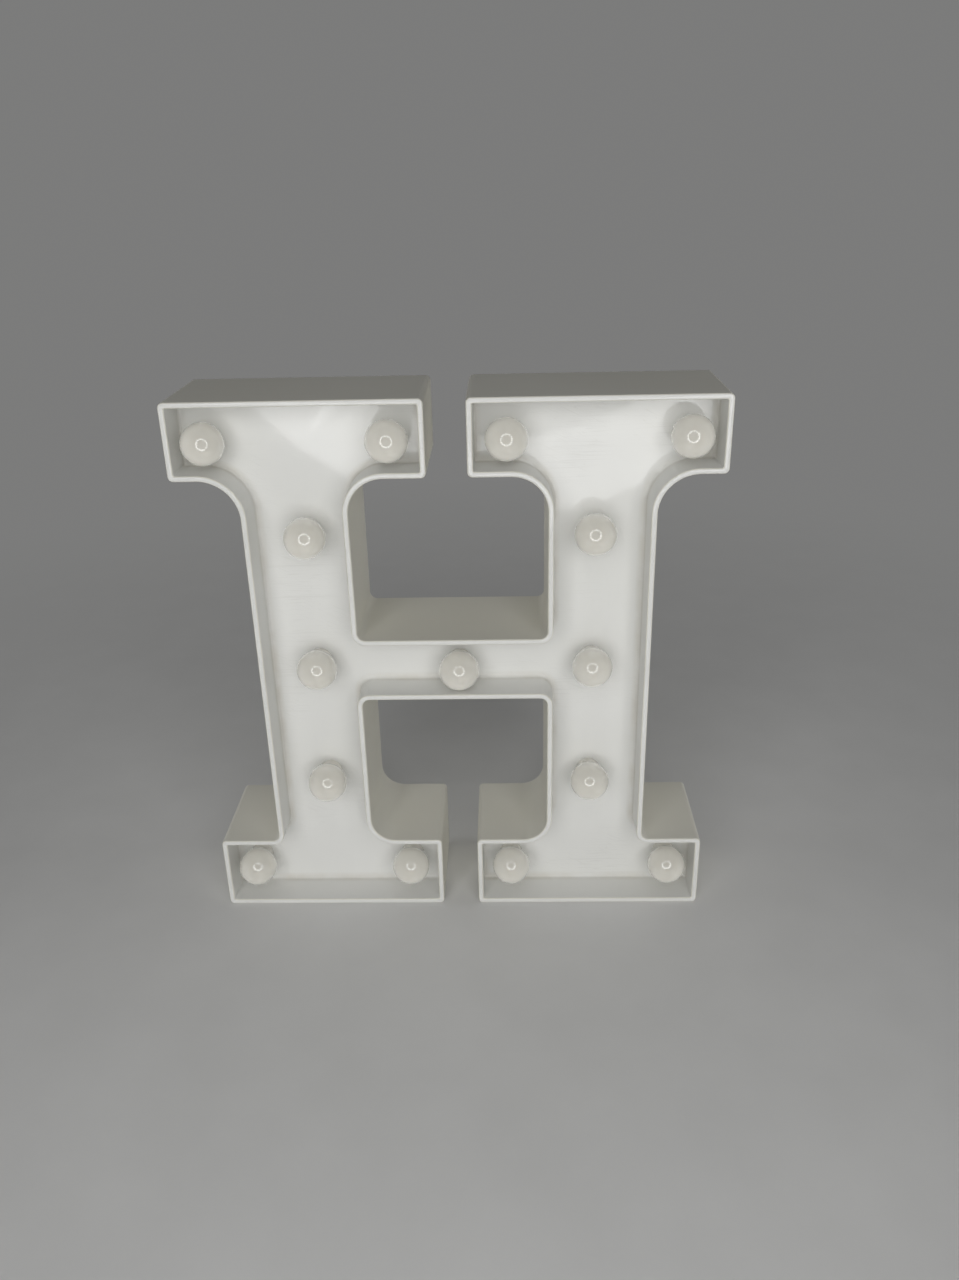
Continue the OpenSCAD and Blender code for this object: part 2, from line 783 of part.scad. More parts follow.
// Conical contact spring: points along its wire, and the rings of a tube round them
RINGS_PER_TURN = 8;
SIDES = 6;
ring_count = spring_turns * RINGS_PER_TURN + 1;
function spring_share(k) = k / (ring_count - 1);
function spring_r(k) = spring_base_d / 2 + (spring_tip_d - spring_base_d) / 2 * spring_share(k);
function spring_point(k) =
    let (turn = 360 * k / RINGS_PER_TURN)
    [spring_r(k) * cos(turn), spring_r(k) * sin(turn), spring_wire_d / 2 + spring_path_l * spring_share(k)];
function ring_point(k, side) =
    let (turn = 360 * k / RINGS_PER_TURN, around = 360 * side / SIDES, r = spring_wire_d / 2)
    spring_point(k) + [r * cos(around) * cos(turn), r * cos(around) * sin(turn), r * sin(around)];
spring_self_gap = min([
    for (a = [0 : ring_count - 1])
        for (b = [a + RINGS_PER_TURN / 2 : 1 : ring_count - 1])
            norm(spring_point(a) - spring_point(b)) - spring_wire_d
]);
echo(spring_self_gap = spring_self_gap);

// One contact spring with its wide end on the plane z = 0
module spring() {
    points = [for (k = [0 : ring_count - 1]) for (side = [0 : SIDES - 1]) ring_point(k, side)];
    walls = [
        for (k = [0 : ring_count - 2])
            for (side = [0 : SIDES - 1])
                let (
                    a = k * SIDES + side,
                    b = k * SIDES + (side + 1) % SIDES,
                    c = a + SIDES,
                    d = b + SIDES
                )
                each [[a, b, d], [a, d, c]]
    ];
    last = (ring_count - 1) * SIDES;
    start_cap = [for (side = [1 : SIDES - 2]) [0, side + 1, side]];
    end_cap = [for (side = [1 : SIDES - 2]) [last, last + side, last + side + 1]];
    polyhedron(points, concat(walls, start_cap, end_cap));
}

// Springs on the negative contact and on the bridge
module contact_springs() {
    color(STEEL) {
        translate([stem_x - cell_half, y_cell, tub_top - plate_t])
            rotate([180, 0, 0])
                spring();
        translate([stem_x + cell_half, y_cell, tub_low + plate_t])
            spring();
    }
}

// Sheet-metal can of the slide switch, with an ear at each end
module switch_can() {
    half_w = can_w / 2;
    y_lid = y_pad - can_t;
    color(STEEL)
        difference() {
            union() {
                block([x_switch - half_w, y_can, switch_z - can_half_l],
                      [x_switch + half_w, y_lid + can_t / 2, switch_z + can_half_l]);
                block([x_switch - half_w, y_lid, switch_z - ear_half_l],
                      [x_switch + half_w, y_pad, switch_z + ear_half_l]);
            }
            block([x_switch - half_w + can_t, y_base - slide_gap, switch_z - cavity_half_l],
                  [x_switch + half_w - can_t, y_lid, switch_z + cavity_half_l]);
            block([x_switch - knob_w / 2 - slide_gap, y_lid - cut_over, switch_z - slot_half_l],
                  [x_switch + knob_w / 2 + slide_gap, y_pad + cut_over, switch_z + slot_half_l]);
            for (side = [-1, 1])
                rod_y(x_switch, switch_z + side * ear_screw_z, small_screw_d + 2 * hole_gap,
                      y_lid - cut_over, y_pad + cut_over);
        }
}

// Slider of the switch at its lower, off position
module switch_slider() {
    z = switch_z - switch_travel / 2;
    y_end = y_back - knob_sink;
    color(BLACK)
        difference() {
            union() {
                block([x_switch - base_w / 2, y_base, z - base_l / 2],
                      [x_switch + base_w / 2, y_base + base_t, z + base_l / 2]);
                block([x_switch - knob_w / 2, y_base, z - knob_l / 2],
                      [x_switch + knob_w / 2, y_end, z + knob_l / 2]);
            }
            // Grip grooves, cut by square bars that stand on edge
            for (i = [1 : grip_count])
                rod_x(y_end, z - knob_l / 2 + i * grip_pitch, 2 * grip_depth,
                      x_switch - knob_w / 2 - cut_over, x_switch + knob_w / 2 + cut_over, $fn = square_sides);
        }
}

// Three flat terminals under the can
module switch_terminals() {
    color(STEEL)
        for (step = [-1 : 1]) {
            z = switch_z + step * terminal_pitch;
            block([x_switch - terminal_w / 2, y_can - terminal_l, z - terminal_t / 2],
                  [x_switch + terminal_w / 2, y_can, z + terminal_t / 2]);
        }
}

// Screws through the ears of the switch into the cover's pad, driven from the front
module switch_screws() {
    color(STEEL)
        for (side = [-1, 1])
            translate([x_switch, y_pad - can_t, switch_z + side * ear_screw_z])
                rotate([0, 0, 180])
                    screw(0, 0, 0, small_screw_d, small_screw_l, small_head_d, small_head_h);
}

front_shell();
rear_cover();
battery_door();
cover_screws();
for (i = [0 : BULB_COUNT - 1]) {
    bulb(i);
    led(i);
}
led_glue_beads();
supply_wires();
return_wires();
switch_lead();
resistor();
cell_left();
cell_right();
contact_positive();
contact_negative();
contact_bridge();
contact_springs();
switch_can();
switch_slider();
switch_terminals();
switch_screws();
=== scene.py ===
"""Looks of a free-standing light-up letter H: a white moulded tray with milky globe bulbs.

Sizes are in millimetres, in the part's own frame, and turn into metres where a mesh is made.
"""
import math

import bmesh
import bpy
from mathutils import Matrix, Vector


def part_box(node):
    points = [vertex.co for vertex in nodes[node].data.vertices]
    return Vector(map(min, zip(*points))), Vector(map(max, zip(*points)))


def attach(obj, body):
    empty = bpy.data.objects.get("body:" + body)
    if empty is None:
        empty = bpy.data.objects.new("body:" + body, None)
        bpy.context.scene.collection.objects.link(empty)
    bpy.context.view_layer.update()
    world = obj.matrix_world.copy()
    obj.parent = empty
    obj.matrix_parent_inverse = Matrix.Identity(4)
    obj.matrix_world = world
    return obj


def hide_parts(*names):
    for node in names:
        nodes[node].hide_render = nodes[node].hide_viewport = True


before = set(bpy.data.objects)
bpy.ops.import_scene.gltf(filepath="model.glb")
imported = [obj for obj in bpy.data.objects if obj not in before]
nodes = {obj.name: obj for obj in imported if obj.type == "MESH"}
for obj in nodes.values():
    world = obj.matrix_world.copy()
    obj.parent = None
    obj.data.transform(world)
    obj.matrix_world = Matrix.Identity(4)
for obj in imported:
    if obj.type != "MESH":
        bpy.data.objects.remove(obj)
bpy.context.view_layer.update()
MM = 0.001


def box_mm(node):
    """Lowest and highest corner of a CAD node in millimetres."""
    low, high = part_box(node)
    return low / MM, high / MM


# Levels and sizes of the shell
shell_low, shell_high = box_mm("front_shell")
Y_RIM = shell_low.y
Y_BACK = shell_high.y
RECESS = 15.5
FACE_T = 2.0
Y_FACE = Y_RIM + RECESS
Y_FACE_BACK = Y_FACE + FACE_T
COVER_T = 2.0
Y_COVER = Y_BACK - COVER_T
WALL = 2.2
LEDGE_W = 1.0
RIM_R = 0.75
FLOOR_R = 1.1
BACK_EDGE_R = 0.4
HIDDEN_R = 0.3

# How far helper shapes reach past what they join or cut, and how many sides or steps round shapes have
BITE = 0.5
CORNER_STEPS = 5
ENTRY_STEPS, SLOT_STEPS = 36, 14
GLOBE_STEPS, FILLET_STEPS, INNER_STEPS = 36, 5, 16
DOME_STEPS = 6
GLOBE_SIDES = 64
CELL_SIDES = 64
SCREW_SIDES = 48
HOLE_SIDES = 40
WELL_SIDES = 32
WIRE_SIDES = 12

# Edges: where shading breaks, where a round edge goes, what is flat, and how far points weld in metres
SHARP_ANGLE = math.radians(35)
EDGE_ANGLE = math.radians(40)
FLAT_ANGLE = math.radians(0.5)
WELD_REACH = 1e-6
DOOR_EDGE_R = 0.3
SLIDER_EDGE_R = 0.1

# What each point of the shell carries: whether it is inside the tray, and the painted shade with some dust
# in the tray's corners
INSIDE = "inside"
SHADE_AND_DUST = "shade_and_dust"
SHADE_AND_DUST_REACH = 2.0

# Outline of the letter
SERIF_OUT = shell_high.x
SERIF_IN = 7.5
LETTER_H = shell_high.z
TOP_SERIF_H = 29.0
TOP_SERIF_Z = LETTER_H - TOP_SERIF_H
BOTTOM_SERIF_H = 33.0
STEM_IN = 37.0
STEM_OUT = 77.0
BAR_LOW = 100.4
BAR_TOP = 126.4
CORNER_R = 2.0
INNER_CORNER_R = 3.0
FOOT_BAY_R = 10.0
HEAD_BAY_R = 13.5
HEAD_WAIST_R = 15.0
LEAST_R = 0.6
HALF_OUTLINE = [
    (STEM_IN, BAR_LOW, INNER_CORNER_R),
    (STEM_IN, BOTTOM_SERIF_H, FOOT_BAY_R),
    (SERIF_IN, BOTTOM_SERIF_H, CORNER_R),
    (SERIF_IN, 0.0, CORNER_R),
    (SERIF_OUT, 0.0, CORNER_R),
    (SERIF_OUT, BOTTOM_SERIF_H, CORNER_R),
    (STEM_OUT, BOTTOM_SERIF_H, INNER_CORNER_R),
    (STEM_OUT, TOP_SERIF_Z, HEAD_WAIST_R),
    (SERIF_OUT, TOP_SERIF_Z, CORNER_R),
    (SERIF_OUT, LETTER_H, CORNER_R),
    (SERIF_IN, LETTER_H, CORNER_R),
    (SERIF_IN, TOP_SERIF_Z, CORNER_R),
    (STEM_IN, TOP_SERIF_Z, HEAD_BAY_R),
    (STEM_IN, BAR_TOP, INNER_CORNER_R),
]
OUTLINE = HALF_OUTLINE + [(-x, z, r) for x, z, r in reversed(HALF_OUTLINE)]

# Bulbs
BULB_COUNT = 15
BULB_R = 8.0
BULB_WALL = 1.2
NECK_R = 4.3
COLLAR_R = 4.8
COLLAR_FILLET_R = 1.2
LIP_R = 4.7
HOLE_R = 4.45
BORE_R = 2.65
SNAP_GAP = 0.15
LIP_T = 1.0
Y_NECK_END = Y_FACE_BACK + SNAP_GAP + LIP_T

# Screws and their bosses behind the face
BOSS_INSET = 3.0
SCREW_INSET = WALL + BOSS_INSET
SCREW_PLACES = [
    (side * x, z)
    for side in (-1, 1)
    for x in (SERIF_IN + SCREW_INSET, SERIF_OUT - SCREW_INSET)
    for z in (SCREW_INSET, LETTER_H - SCREW_INSET)
]
SCREW_R = 1.1
SCREW_L = 10.0
HEAD_R = 2.5
HEAD_H = 1.7
HEAD_SKIRT = 0.6
SKIRT_EDGE = 0.1
DOME_END = 0.4 * math.pi
SCREW_TURN = 0.7
CROSS_HALF_L = 1.45
CROSS_HALF_W = 0.48
CROSS_TAPER = 0.55
TIP_R = 0.3
TIP_L = 1.6
HEAD_HOLE_R = 2.65
SCREW_HOLE_R = 1.25
BOSS_R = 3.5
WELL_R = 2.75
WELL_T = 2.0
WELL_EDGE_R = 0.1
PILOT_SPARE = 2.0
Y_BOSS_END = Y_COVER - WELL_T
Y_PILOT_END = Y_COVER - SCREW_L - PILOT_SPARE

# Rear panel with its battery tub, the cells in it, keyholes and switch pad
COVER_INSET = 1.4
PANEL_EDGE_R = 0.4
STEM_X = (STEM_IN + STEM_OUT) / 2
TUB_HALF = 15.1
TUB_WALL = 1.5
TUB_LOW, TUB_TOP = 66.0, 124.0
Y_TUB_FLOOR = 6.8
DOOR_HALF = 16.3
DOOR_LOW, DOOR_TOP = 69.0, 125.2
CELL_HALF = 7.45
BAND_LOW, BAND_TOP = 33.0, 37.0
JACKET_TOP = 49.1
JACKET_IN_R = 5.7
CELL_BASE_R = 5.0
NUB_R = 2.7
SPRING_L = 5.5
SPRING_TURNS = 3.5
SPRING_WIRE_R = 0.35
SPRING_BASE_R = 4.5
SPRING_TIP_R = 2.8
SPRING_STEPS = 28
TAB_W, TAB_T, TAB_GAP = 3.0, 0.4, 0.4
Y_TAB = 10.4
KEYHOLE_R = 4.0
KEYHOLE_SLOT = 2.1
KEYHOLE_RISE = 7.5
KEYHOLE_Z = 201.0
SWITCH_X = sum(corner.x for corner in box_mm("switch_slider")) / 2
SWITCH_Z = 152.0
POCKET_HALF = (4.0, 6.8)
SLOT_HALF = (1.8, 4.3)
PAD_HALF = (5.5, 13.0)
PAD_T = 2.0
POCKET_D = 2.5

# Colours, most of them a lighter and a darker one that the material mixes
FACE_WHITE = (0.84, 0.84, 0.815), (0.815, 0.815, 0.785)
# A darker cream for the outer walls: painted shade on the tops and sides of the same plastic as the face
SHADED_WALL_CREAM = (0.81, 0.795, 0.72), (0.78, 0.765, 0.685)
# Brown painted into the tray's inner corners: painted shade, with some dust
SHADE_AND_DUST_BROWN = (0.50, 0.45, 0.34)
STREAK_GREY = (0.50, 0.49, 0.45)
SPECK_BROWN = (0.30, 0.28, 0.24)
MILKY = (0.80, 0.778, 0.71), (0.76, 0.738, 0.668)
MILKY_SCATTER = (1.0, 0.92, 0.78)
COVER_WHITE = (0.78, 0.78, 0.75), (0.74, 0.74, 0.71)
KNOB_BLACK = (0.035, 0.035, 0.035), (0.02, 0.02, 0.02)
LED_YELLOW = (0.90, 0.86, 0.66), (0.86, 0.82, 0.62)
GLUE_AMBER = (0.82, 0.79, 0.68), (0.76, 0.73, 0.60)
WIRE_RED = (0.52, 0.03, 0.025), (0.44, 0.025, 0.02)
WIRE_BLACK = (0.03, 0.03, 0.03), (0.02, 0.02, 0.02)
LACQUER_TAN = (0.62, 0.48, 0.27), (0.56, 0.42, 0.23)
JACKET_BLUE = (0.06, 0.075, 0.10), (0.05, 0.06, 0.085)
BAND_GREY = (0.55, 0.56, 0.58), (0.50, 0.51, 0.53)
FILM_WHITE = (0.70, 0.70, 0.68), (0.64, 0.64, 0.62)
NICKEL = (0.72, 0.70, 0.66), (0.60, 0.58, 0.54)
ZINC = (0.66, 0.67, 0.68), (0.52, 0.53, 0.55)
SHEET_STEEL = (0.64, 0.63, 0.60), (0.54, 0.53, 0.50)

# How strongly the painted corner shade with its dust, the streaks and the specks cover the shell, how rough
# the glossy materials are, how far light scatters in the globes, and how metallic the plating is
SHADE_AND_DUST_COVER = 0.3
STREAK_COVER = 0.14
SPECK_COVER = 0.5
FACE_ROUGHNESS, WALL_ROUGHNESS = 0.03, 0.42
GLOBE_ROUGHNESS = (0.07, 0.11)
COAT_ROUGHNESS = 0.07
SCATTER_L = 4.0
PLATING = 0.6

# Stage: its colours, half the floor's side, where the floor runs into the background, its darker mottling,
# and the even light
FLOOR_COLOUR = (0.80, 0.80, 0.792)
BACKGROUND_COLOUR = (0.20, 0.20, 0.198)
AMBIENT_COLOUR = (1.0, 1.0, 0.985)
FLOOR_HALF = 6000.0
FLOOR_FADE = (200.0, 650.0)
FLOOR_SHADE = 0.96
AMBIENT = 0.06

# Camera: place, turn in degrees and focal length, found from the letter's corners in the photograph
PHOTO_H = 1280
FOCAL_PX = 1046.0
SENSOR = 36.0
NEAR_CLIP = 0.01
CAMERA_AT = Vector((22.0, -389.9, 294.8))
CAMERA_TURN = Vector((24.53, 1.46, -0.97))
LEVEL_VIEW = Matrix(((1, 0, 0), (0, 0, -1), (0, 1, 0)))

# Lamps: a ring round the camera, and soft ones as place, size and watts
RING_COUNT = 32
RING_R = 215.0
RING_W = 60.0
RING_WATTS = 0.78
AIM = (0, 0, 110)
FRONT_LAMP = (0, -1500, 620), (1600, 900), 8.8
BACK_LAMP = (0, 3000, 150), (600, 300), 22.0
OBLIQUE_LAMP = (550, 950, 130), (400, 200), 0.3
OBLIQUE_SPREAD = 90
SIDE_LAMP = (3000, 0, 150), (200, 300), 16.0


def between(start, end, steps):
    """Evenly spaced values from a start to an end, both included."""
    return [start + (end - start) * k / steps for k in range(steps + 1)]


def left_of(direction):
    """Direction turned a quarter to the left."""
    return Vector((-direction.y, direction.x))


def rounded_corner(into, here, out, radius, steps):
    """Points of an arc that rounds a right-angled corner, from its incoming to its outgoing direction."""
    centre = here + (out - into) * radius
    turns = between(0, math.pi / 2, steps)
    return [centre + (into * math.sin(a) - out * math.cos(a)) * radius for a in turns]


def directions(corners, k):
    """Incoming and outgoing direction at one corner of a closed outline."""
    here = Vector(corners[k][:2])
    before = Vector(corners[k - 1][:2])
    after = Vector(corners[(k + 1) % len(corners)][:2])
    return (here - before).normalized(), (after - here).normalized()


def outline(corners, inset):
    """Closed loop of points round an outline, moved inwards, with the same count at every inset."""
    loop = []
    for k, (x, z, radius) in enumerate(corners):
        into, out = directions(corners, k)
        turn = 1 if into.cross(out) > 0 else -1
        here = Vector((x, z)) + (left_of(into) + left_of(out)) * inset
        moved_r = max(radius - turn * inset, LEAST_R)
        loop += rounded_corner(into, here, out, moved_r, CORNER_STEPS + round(radius))
    return loop


def rounded_path(corners, steps=4):
    """Open path through right-angled corners, each with its radius; the first and last stay as they are."""
    points = [Vector(corners[0][:2])]
    for k in range(1, len(corners) - 1):
        into, out = directions(corners, k)
        u, v, radius = corners[k]
        points += rounded_corner(into, Vector((u, v)), out, radius, steps) if radius else [Vector((u, v))]
    return points + [Vector(corners[-1][:2])]


def circle(x, z, radius, count):
    """Closed loop of points round a centre in x and z."""
    turns = [2 * math.pi * k / count for k in range(count)]
    return [Vector((x + radius * math.cos(a), z + radius * math.sin(a))) for a in turns]


def rectangle(x_low, x_high, z_low, z_high, grow=0.0, radius=0.5):
    """Closed loop round a rectangle with small round corners, made larger on every side."""
    corners = [(x_low, z_low), (x_high, z_low), (x_high, z_high), (x_low, z_high)]
    return outline([(x, z, radius) for x, z in corners], -grow)


def around(x, z, half, grow=0.0):
    """Closed loop round a rectangle given by its middle and half sizes."""
    return rectangle(x - half[0], x + half[0], z - half[1], z + half[1], grow)


def keyhole(x, z, grow):
    """Closed loop round a keyhole: round entry below, slot above."""
    entry, slot = KEYHOLE_R + grow, KEYHOLE_SLOT + grow
    mouth = math.asin(slot / entry)
    entry_turns = between(math.pi / 2 - mouth, mouth - 1.5 * math.pi, ENTRY_STEPS)
    slot_turns = between(math.pi, 0, SLOT_STEPS)
    loop = [Vector((x + entry * math.cos(a), z + entry * math.sin(a))) for a in entry_turns]
    end = z + KEYHOLE_RISE
    return loop + [Vector((x + slot * math.cos(a), end + slot * math.sin(a))) for a in slot_turns]


def ring(bm, loop, y):
    """Vertices of a loop at one depth."""
    return [bm.verts.new((p.x * MM, y * MM, p.y * MM)) for p in loop]


def skin(bm, a, b, material=0):
    """Quads between two closed rings of the same count."""
    for k in range(len(a)):
        after = (k + 1) % len(a)
        bm.faces.new((a[k], a[after], b[after], b[k])).material_index = material


def closed_edges(bm, loop):
    """Edges round a closed ring, made where they don't exist."""
    pairs = [(loop[k - 1], loop[k]) for k in range(len(loop))]
    return [bm.edges.get(pair) or bm.edges.new(pair) for pair in pairs]


def fill(bm, *loops):
    """Flat faces inside the first ring and outside the others."""
    edges = [e for loop in loops for e in closed_edges(bm, loop)]
    bmesh.ops.triangle_fill(bm, use_beauty=True, edges=edges)


def plate(bm, loops, y_face, y_far, edge_r, steps=3):
    """Plate between two depths with round edges at the first. Each loop is a function of how far it is moved
    into the material; the first one is the outside, the others are holes."""
    turns = between(0, math.pi / 2, steps)
    side = 1 if y_far > y_face else -1
    levels = [(edge_r * (1 - math.sin(a)), y_face + side * edge_r * (1 - math.cos(a))) for a in turns]
    levels.append((0.0, y_far))
    first, last = [], []
    for loop in loops:
        rings = [ring(bm, loop(moved), y) for moved, y in levels]
        for a, b in zip(rings, rings[1:]):
            skin(bm, a, b)
        first.append(rings[0])
        last.append(rings[-1])
    fill(bm, *first)
    fill(bm, *last)


def lathe(bm, profile, count, materials=None):
    """Solid of revolution about the y axis from (radius, y) points that start and end on the axis."""
    rings = [ring(bm, circle(0, 0, r, count), y) if r > 0 else None for r, y in profile]
    for k in range(len(profile) - 1):
        material = materials[k] if materials else 0
        a, b = rings[k], rings[k + 1]
        if a and b:
            skin(bm, a, b, material)
        else:
            y = profile[k if a is None else k + 1][1]
            tip = bm.verts.new((0, y * MM, 0))
            open_ring = b if a is None else a
            for s in range(count):
                bm.faces.new((tip, open_ring[s - 1], open_ring[s])).material_index = material


def tube(bm, points, radius, sides):
    """Round wire along points given in millimetres, with flat ends."""
    rings = []
    side = Vector((0, 1, 0))
    turns = [2 * math.pi * k / sides for k in range(sides)]
    for k, p in enumerate(points):
        ahead = (points[min(k + 1, len(points) - 1)] - points[max(k - 1, 0)]).normalized()
        side = (side - ahead * side.dot(ahead)).normalized()
        up = ahead.cross(side)
        around_wire = [side * math.cos(a) + up * math.sin(a) for a in turns]
        rings.append([bm.verts.new((p + out * radius) * MM) for out in around_wire])
    for a, b in zip(rings, rings[1:]):
        skin(bm, a, b)
    bm.faces.new(rings[0])
    bm.faces.new(rings[-1])


def mesh_from(bm, name):
    """Mesh with outward normals, smooth apart from its sharp edges."""
    bmesh.ops.recalc_face_normals(bm, faces=bm.faces[:])
    for face in bm.faces:
        face.smooth = True
    for edge in bm.edges:
        edge.smooth = len(edge.link_faces) == 2 and edge.calc_face_angle(0) < SHARP_ANGLE
    mesh = bpy.data.meshes.new(name)
    bm.to_mesh(mesh)
    bm.free()
    return mesh


def new_object(name, mesh):
    """Object in the scene for a mesh."""
    made = bpy.data.objects.new(name, mesh)
    bpy.context.scene.collection.objects.link(made)
    return made


def boolean(target, tool, operation):
    """Joins or cuts a mesh object with a helper object, which is then removed."""
    change = target.modifiers.new("change", "BOOLEAN")
    change.operation = operation
    change.solver = "EXACT"
    change.object = tool
    graph = bpy.context.evaluated_depsgraph_get()
    result = bpy.data.meshes.new_from_object(target.evaluated_get(graph))
    target.modifiers.clear()
    target.data = result
    bpy.data.objects.remove(tool)


def flat_shading_on_flats(piece):
    """Keeps flat faces evenly lit beside their small round edges."""
    weighted = piece.modifiers.new("weighted_normals", "WEIGHTED_NORMAL")
    weighted.keep_sharp = True


def place(piece, body, slot, node, *materials):
    """A finished piece: its materials, the body it rides on and the CAD node it stands for."""
    for material in materials:
        piece.data.materials.append(material)
    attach(piece, body)
    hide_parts(node)


def round_edges(piece, width_mm):
    """Small round edges through a modifier."""
    edge = piece.modifiers.new("round_edges", "BEVEL")
    edge.width = width_mm * MM
    edge.segments = 2
    edge.limit_method = "ANGLE"
    edge.angle_limit = EDGE_ANGLE
    flat_shading_on_flats(piece)


def soften(node, width_mm):
    """Small round edges on a CAD node, through modifiers alone."""
    piece = nodes[node]
    weld = piece.modifiers.new("weld", "WELD")
    weld.merge_threshold = WELD_REACH
    flats = piece.modifiers.new("flats", "DECIMATE")
    flats.decimate_type = "DISSOLVE"
    flats.angle_limit = FLAT_ANGLE
    round_edges(piece, width_mm)


# Materials

def add(tree, kind, inputs=None, **settings):
    """Node of a kind, with inputs that are values or sockets to link."""
    node = tree.nodes.new(kind)
    for key, value in settings.items():
        setattr(node, key, value)
    for key, value in (inputs or {}).items():
        if isinstance(value, bpy.types.NodeSocket):
            tree.links.new(value, node.inputs[key])
        else:
            node.inputs[key].default_value = value
    return node


def principled(name, **sockets):
    """Material, its node tree and its shader, with uniform values set on the shader's sockets."""
    material = bpy.data.materials.new(name)
    material.use_nodes = True
    tree = material.node_tree
    shader = tree.nodes["Principled BSDF"]
    for key, value in sockets.items():
        shader.inputs[key.replace("_", " ").title().replace("Ior", "IOR")].default_value = value
    return material, tree, shader


def link_finish(tree, shader, colour, roughness, normal):
    """Links a material's textures to its shader."""
    for socket, value in (("Base Color", colour), ("Roughness", roughness), ("Normal", normal)):
        tree.links.new(value, shader.inputs[socket])


def object_coords(tree):
    """Coordinates that stay with the object."""
    return add(tree, "ShaderNodeTexCoord").outputs["Object"]


def point_value(tree, name):
    """Value that a mesh carries at its points."""
    return add(tree, "ShaderNodeAttribute", attribute_name=name).outputs["Fac"]


def noise(tree, coords, size_mm, detail=2.0):
    """Noise whose features are about that size."""
    inputs = {"Vector": coords, "Scale": 1 / (size_mm * MM), "Detail": detail}
    return add(tree, "ShaderNodeTexNoise", inputs).outputs["Fac"]


def remap(tree, value, low, high, to_low, to_high):
    """Value moved from one range to another, held at the ends."""
    inputs = {"Value": value, "From Min": low, "From Max": high, "To Min": to_low, "To Max": to_high}
    return add(tree, "ShaderNodeMapRange", inputs).outputs["Result"]


def math_node(tree, operation, a, b=0.0, c=0.0):
    """Result of one operation on values or sockets."""
    return add(tree, "ShaderNodeMath", {0: a, 1: b, 2: c}, operation=operation).outputs["Value"]


# Places of the colour sockets of a mix node
MIX_FACTOR, MIX_A, MIX_B, MIX_RESULT = 0, 6, 7, 2


def mix_colours(tree, factor, a, b):
    """Mix of two colours, each a triple or a socket."""
    def ready(c):
        return c if isinstance(c, bpy.types.NodeSocket) else (*c, 1.0)
    inputs = {MIX_FACTOR: factor, MIX_A: ready(a), MIX_B: ready(b)}
    return add(tree, "ShaderNodeMix", inputs, data_type="RGBA").outputs[MIX_RESULT]


def bump(tree, height, depth_mm, normal=None):
    """Bump of a height that runs from 0 to 1 over that depth."""
    inputs = {"Height": height, "Distance": depth_mm * MM, "Strength": 1.0}
    if normal is not None:
        inputs["Normal"] = normal
    return add(tree, "ShaderNodeBump", inputs).outputs["Normal"]


def streaks(tree, coords, tilt, length_mm, width_mm, fineness):
    """Thin, long, broken lines across a face seen along y: 1 on a line and 0 elsewhere."""
    turned = add(tree, "ShaderNodeMapping", {"Vector": coords, "Rotation": (0, tilt, 0)}).outputs["Vector"]
    stretch = (1 / (length_mm * MM), 0.0, 1 / (width_mm * MM))
    scaled = add(tree, "ShaderNodeMapping", {"Vector": turned, "Scale": stretch}).outputs["Vector"]
    value = add(tree, "ShaderNodeTexNoise", {"Vector": scaled, "Scale": 1.0, "Detail": 1.0}).outputs["Fac"]
    off_line = math_node(tree, "ABSOLUTE", math_node(tree, "SUBTRACT", value, 0.5))
    line = remap(tree, off_line, 0.0, fineness, 1.0, 0.0)
    where = remap(tree, noise(tree, coords, 38, 1.0), 0.5, 0.66, 0.0, 1.0)
    return math_node(tree, "MULTIPLY", line, where)


def facing_front(tree):
    """How far a surface faces the front, from 0 to 1."""
    normal = add(tree, "ShaderNodeTexCoord").outputs["Normal"]
    y = add(tree, "ShaderNodeSeparateXYZ", {"Vector": normal}).outputs["Y"]
    return remap(tree, y, -0.95, -0.8, 1.0, 0.0)


def specks(tree, coords, spacing_mm, radius_mm, share):
    """A few small round specks: 1 in a speck and 0 elsewhere."""
    cells = add(tree, "ShaderNodeTexVoronoi", {"Vector": coords, "Scale": 1 / (spacing_mm * MM)})
    near = remap(tree, cells.outputs["Distance"], 0.0, radius_mm / spacing_mm, 1.0, 0.0)
    pick = add(tree, "ShaderNodeSeparateColor", {"Color": cells.outputs["Color"]}).outputs["Red"]
    chosen = math_node(tree, "LESS_THAN", pick, share)
    return math_node(tree, "MULTIPLY", near, chosen)


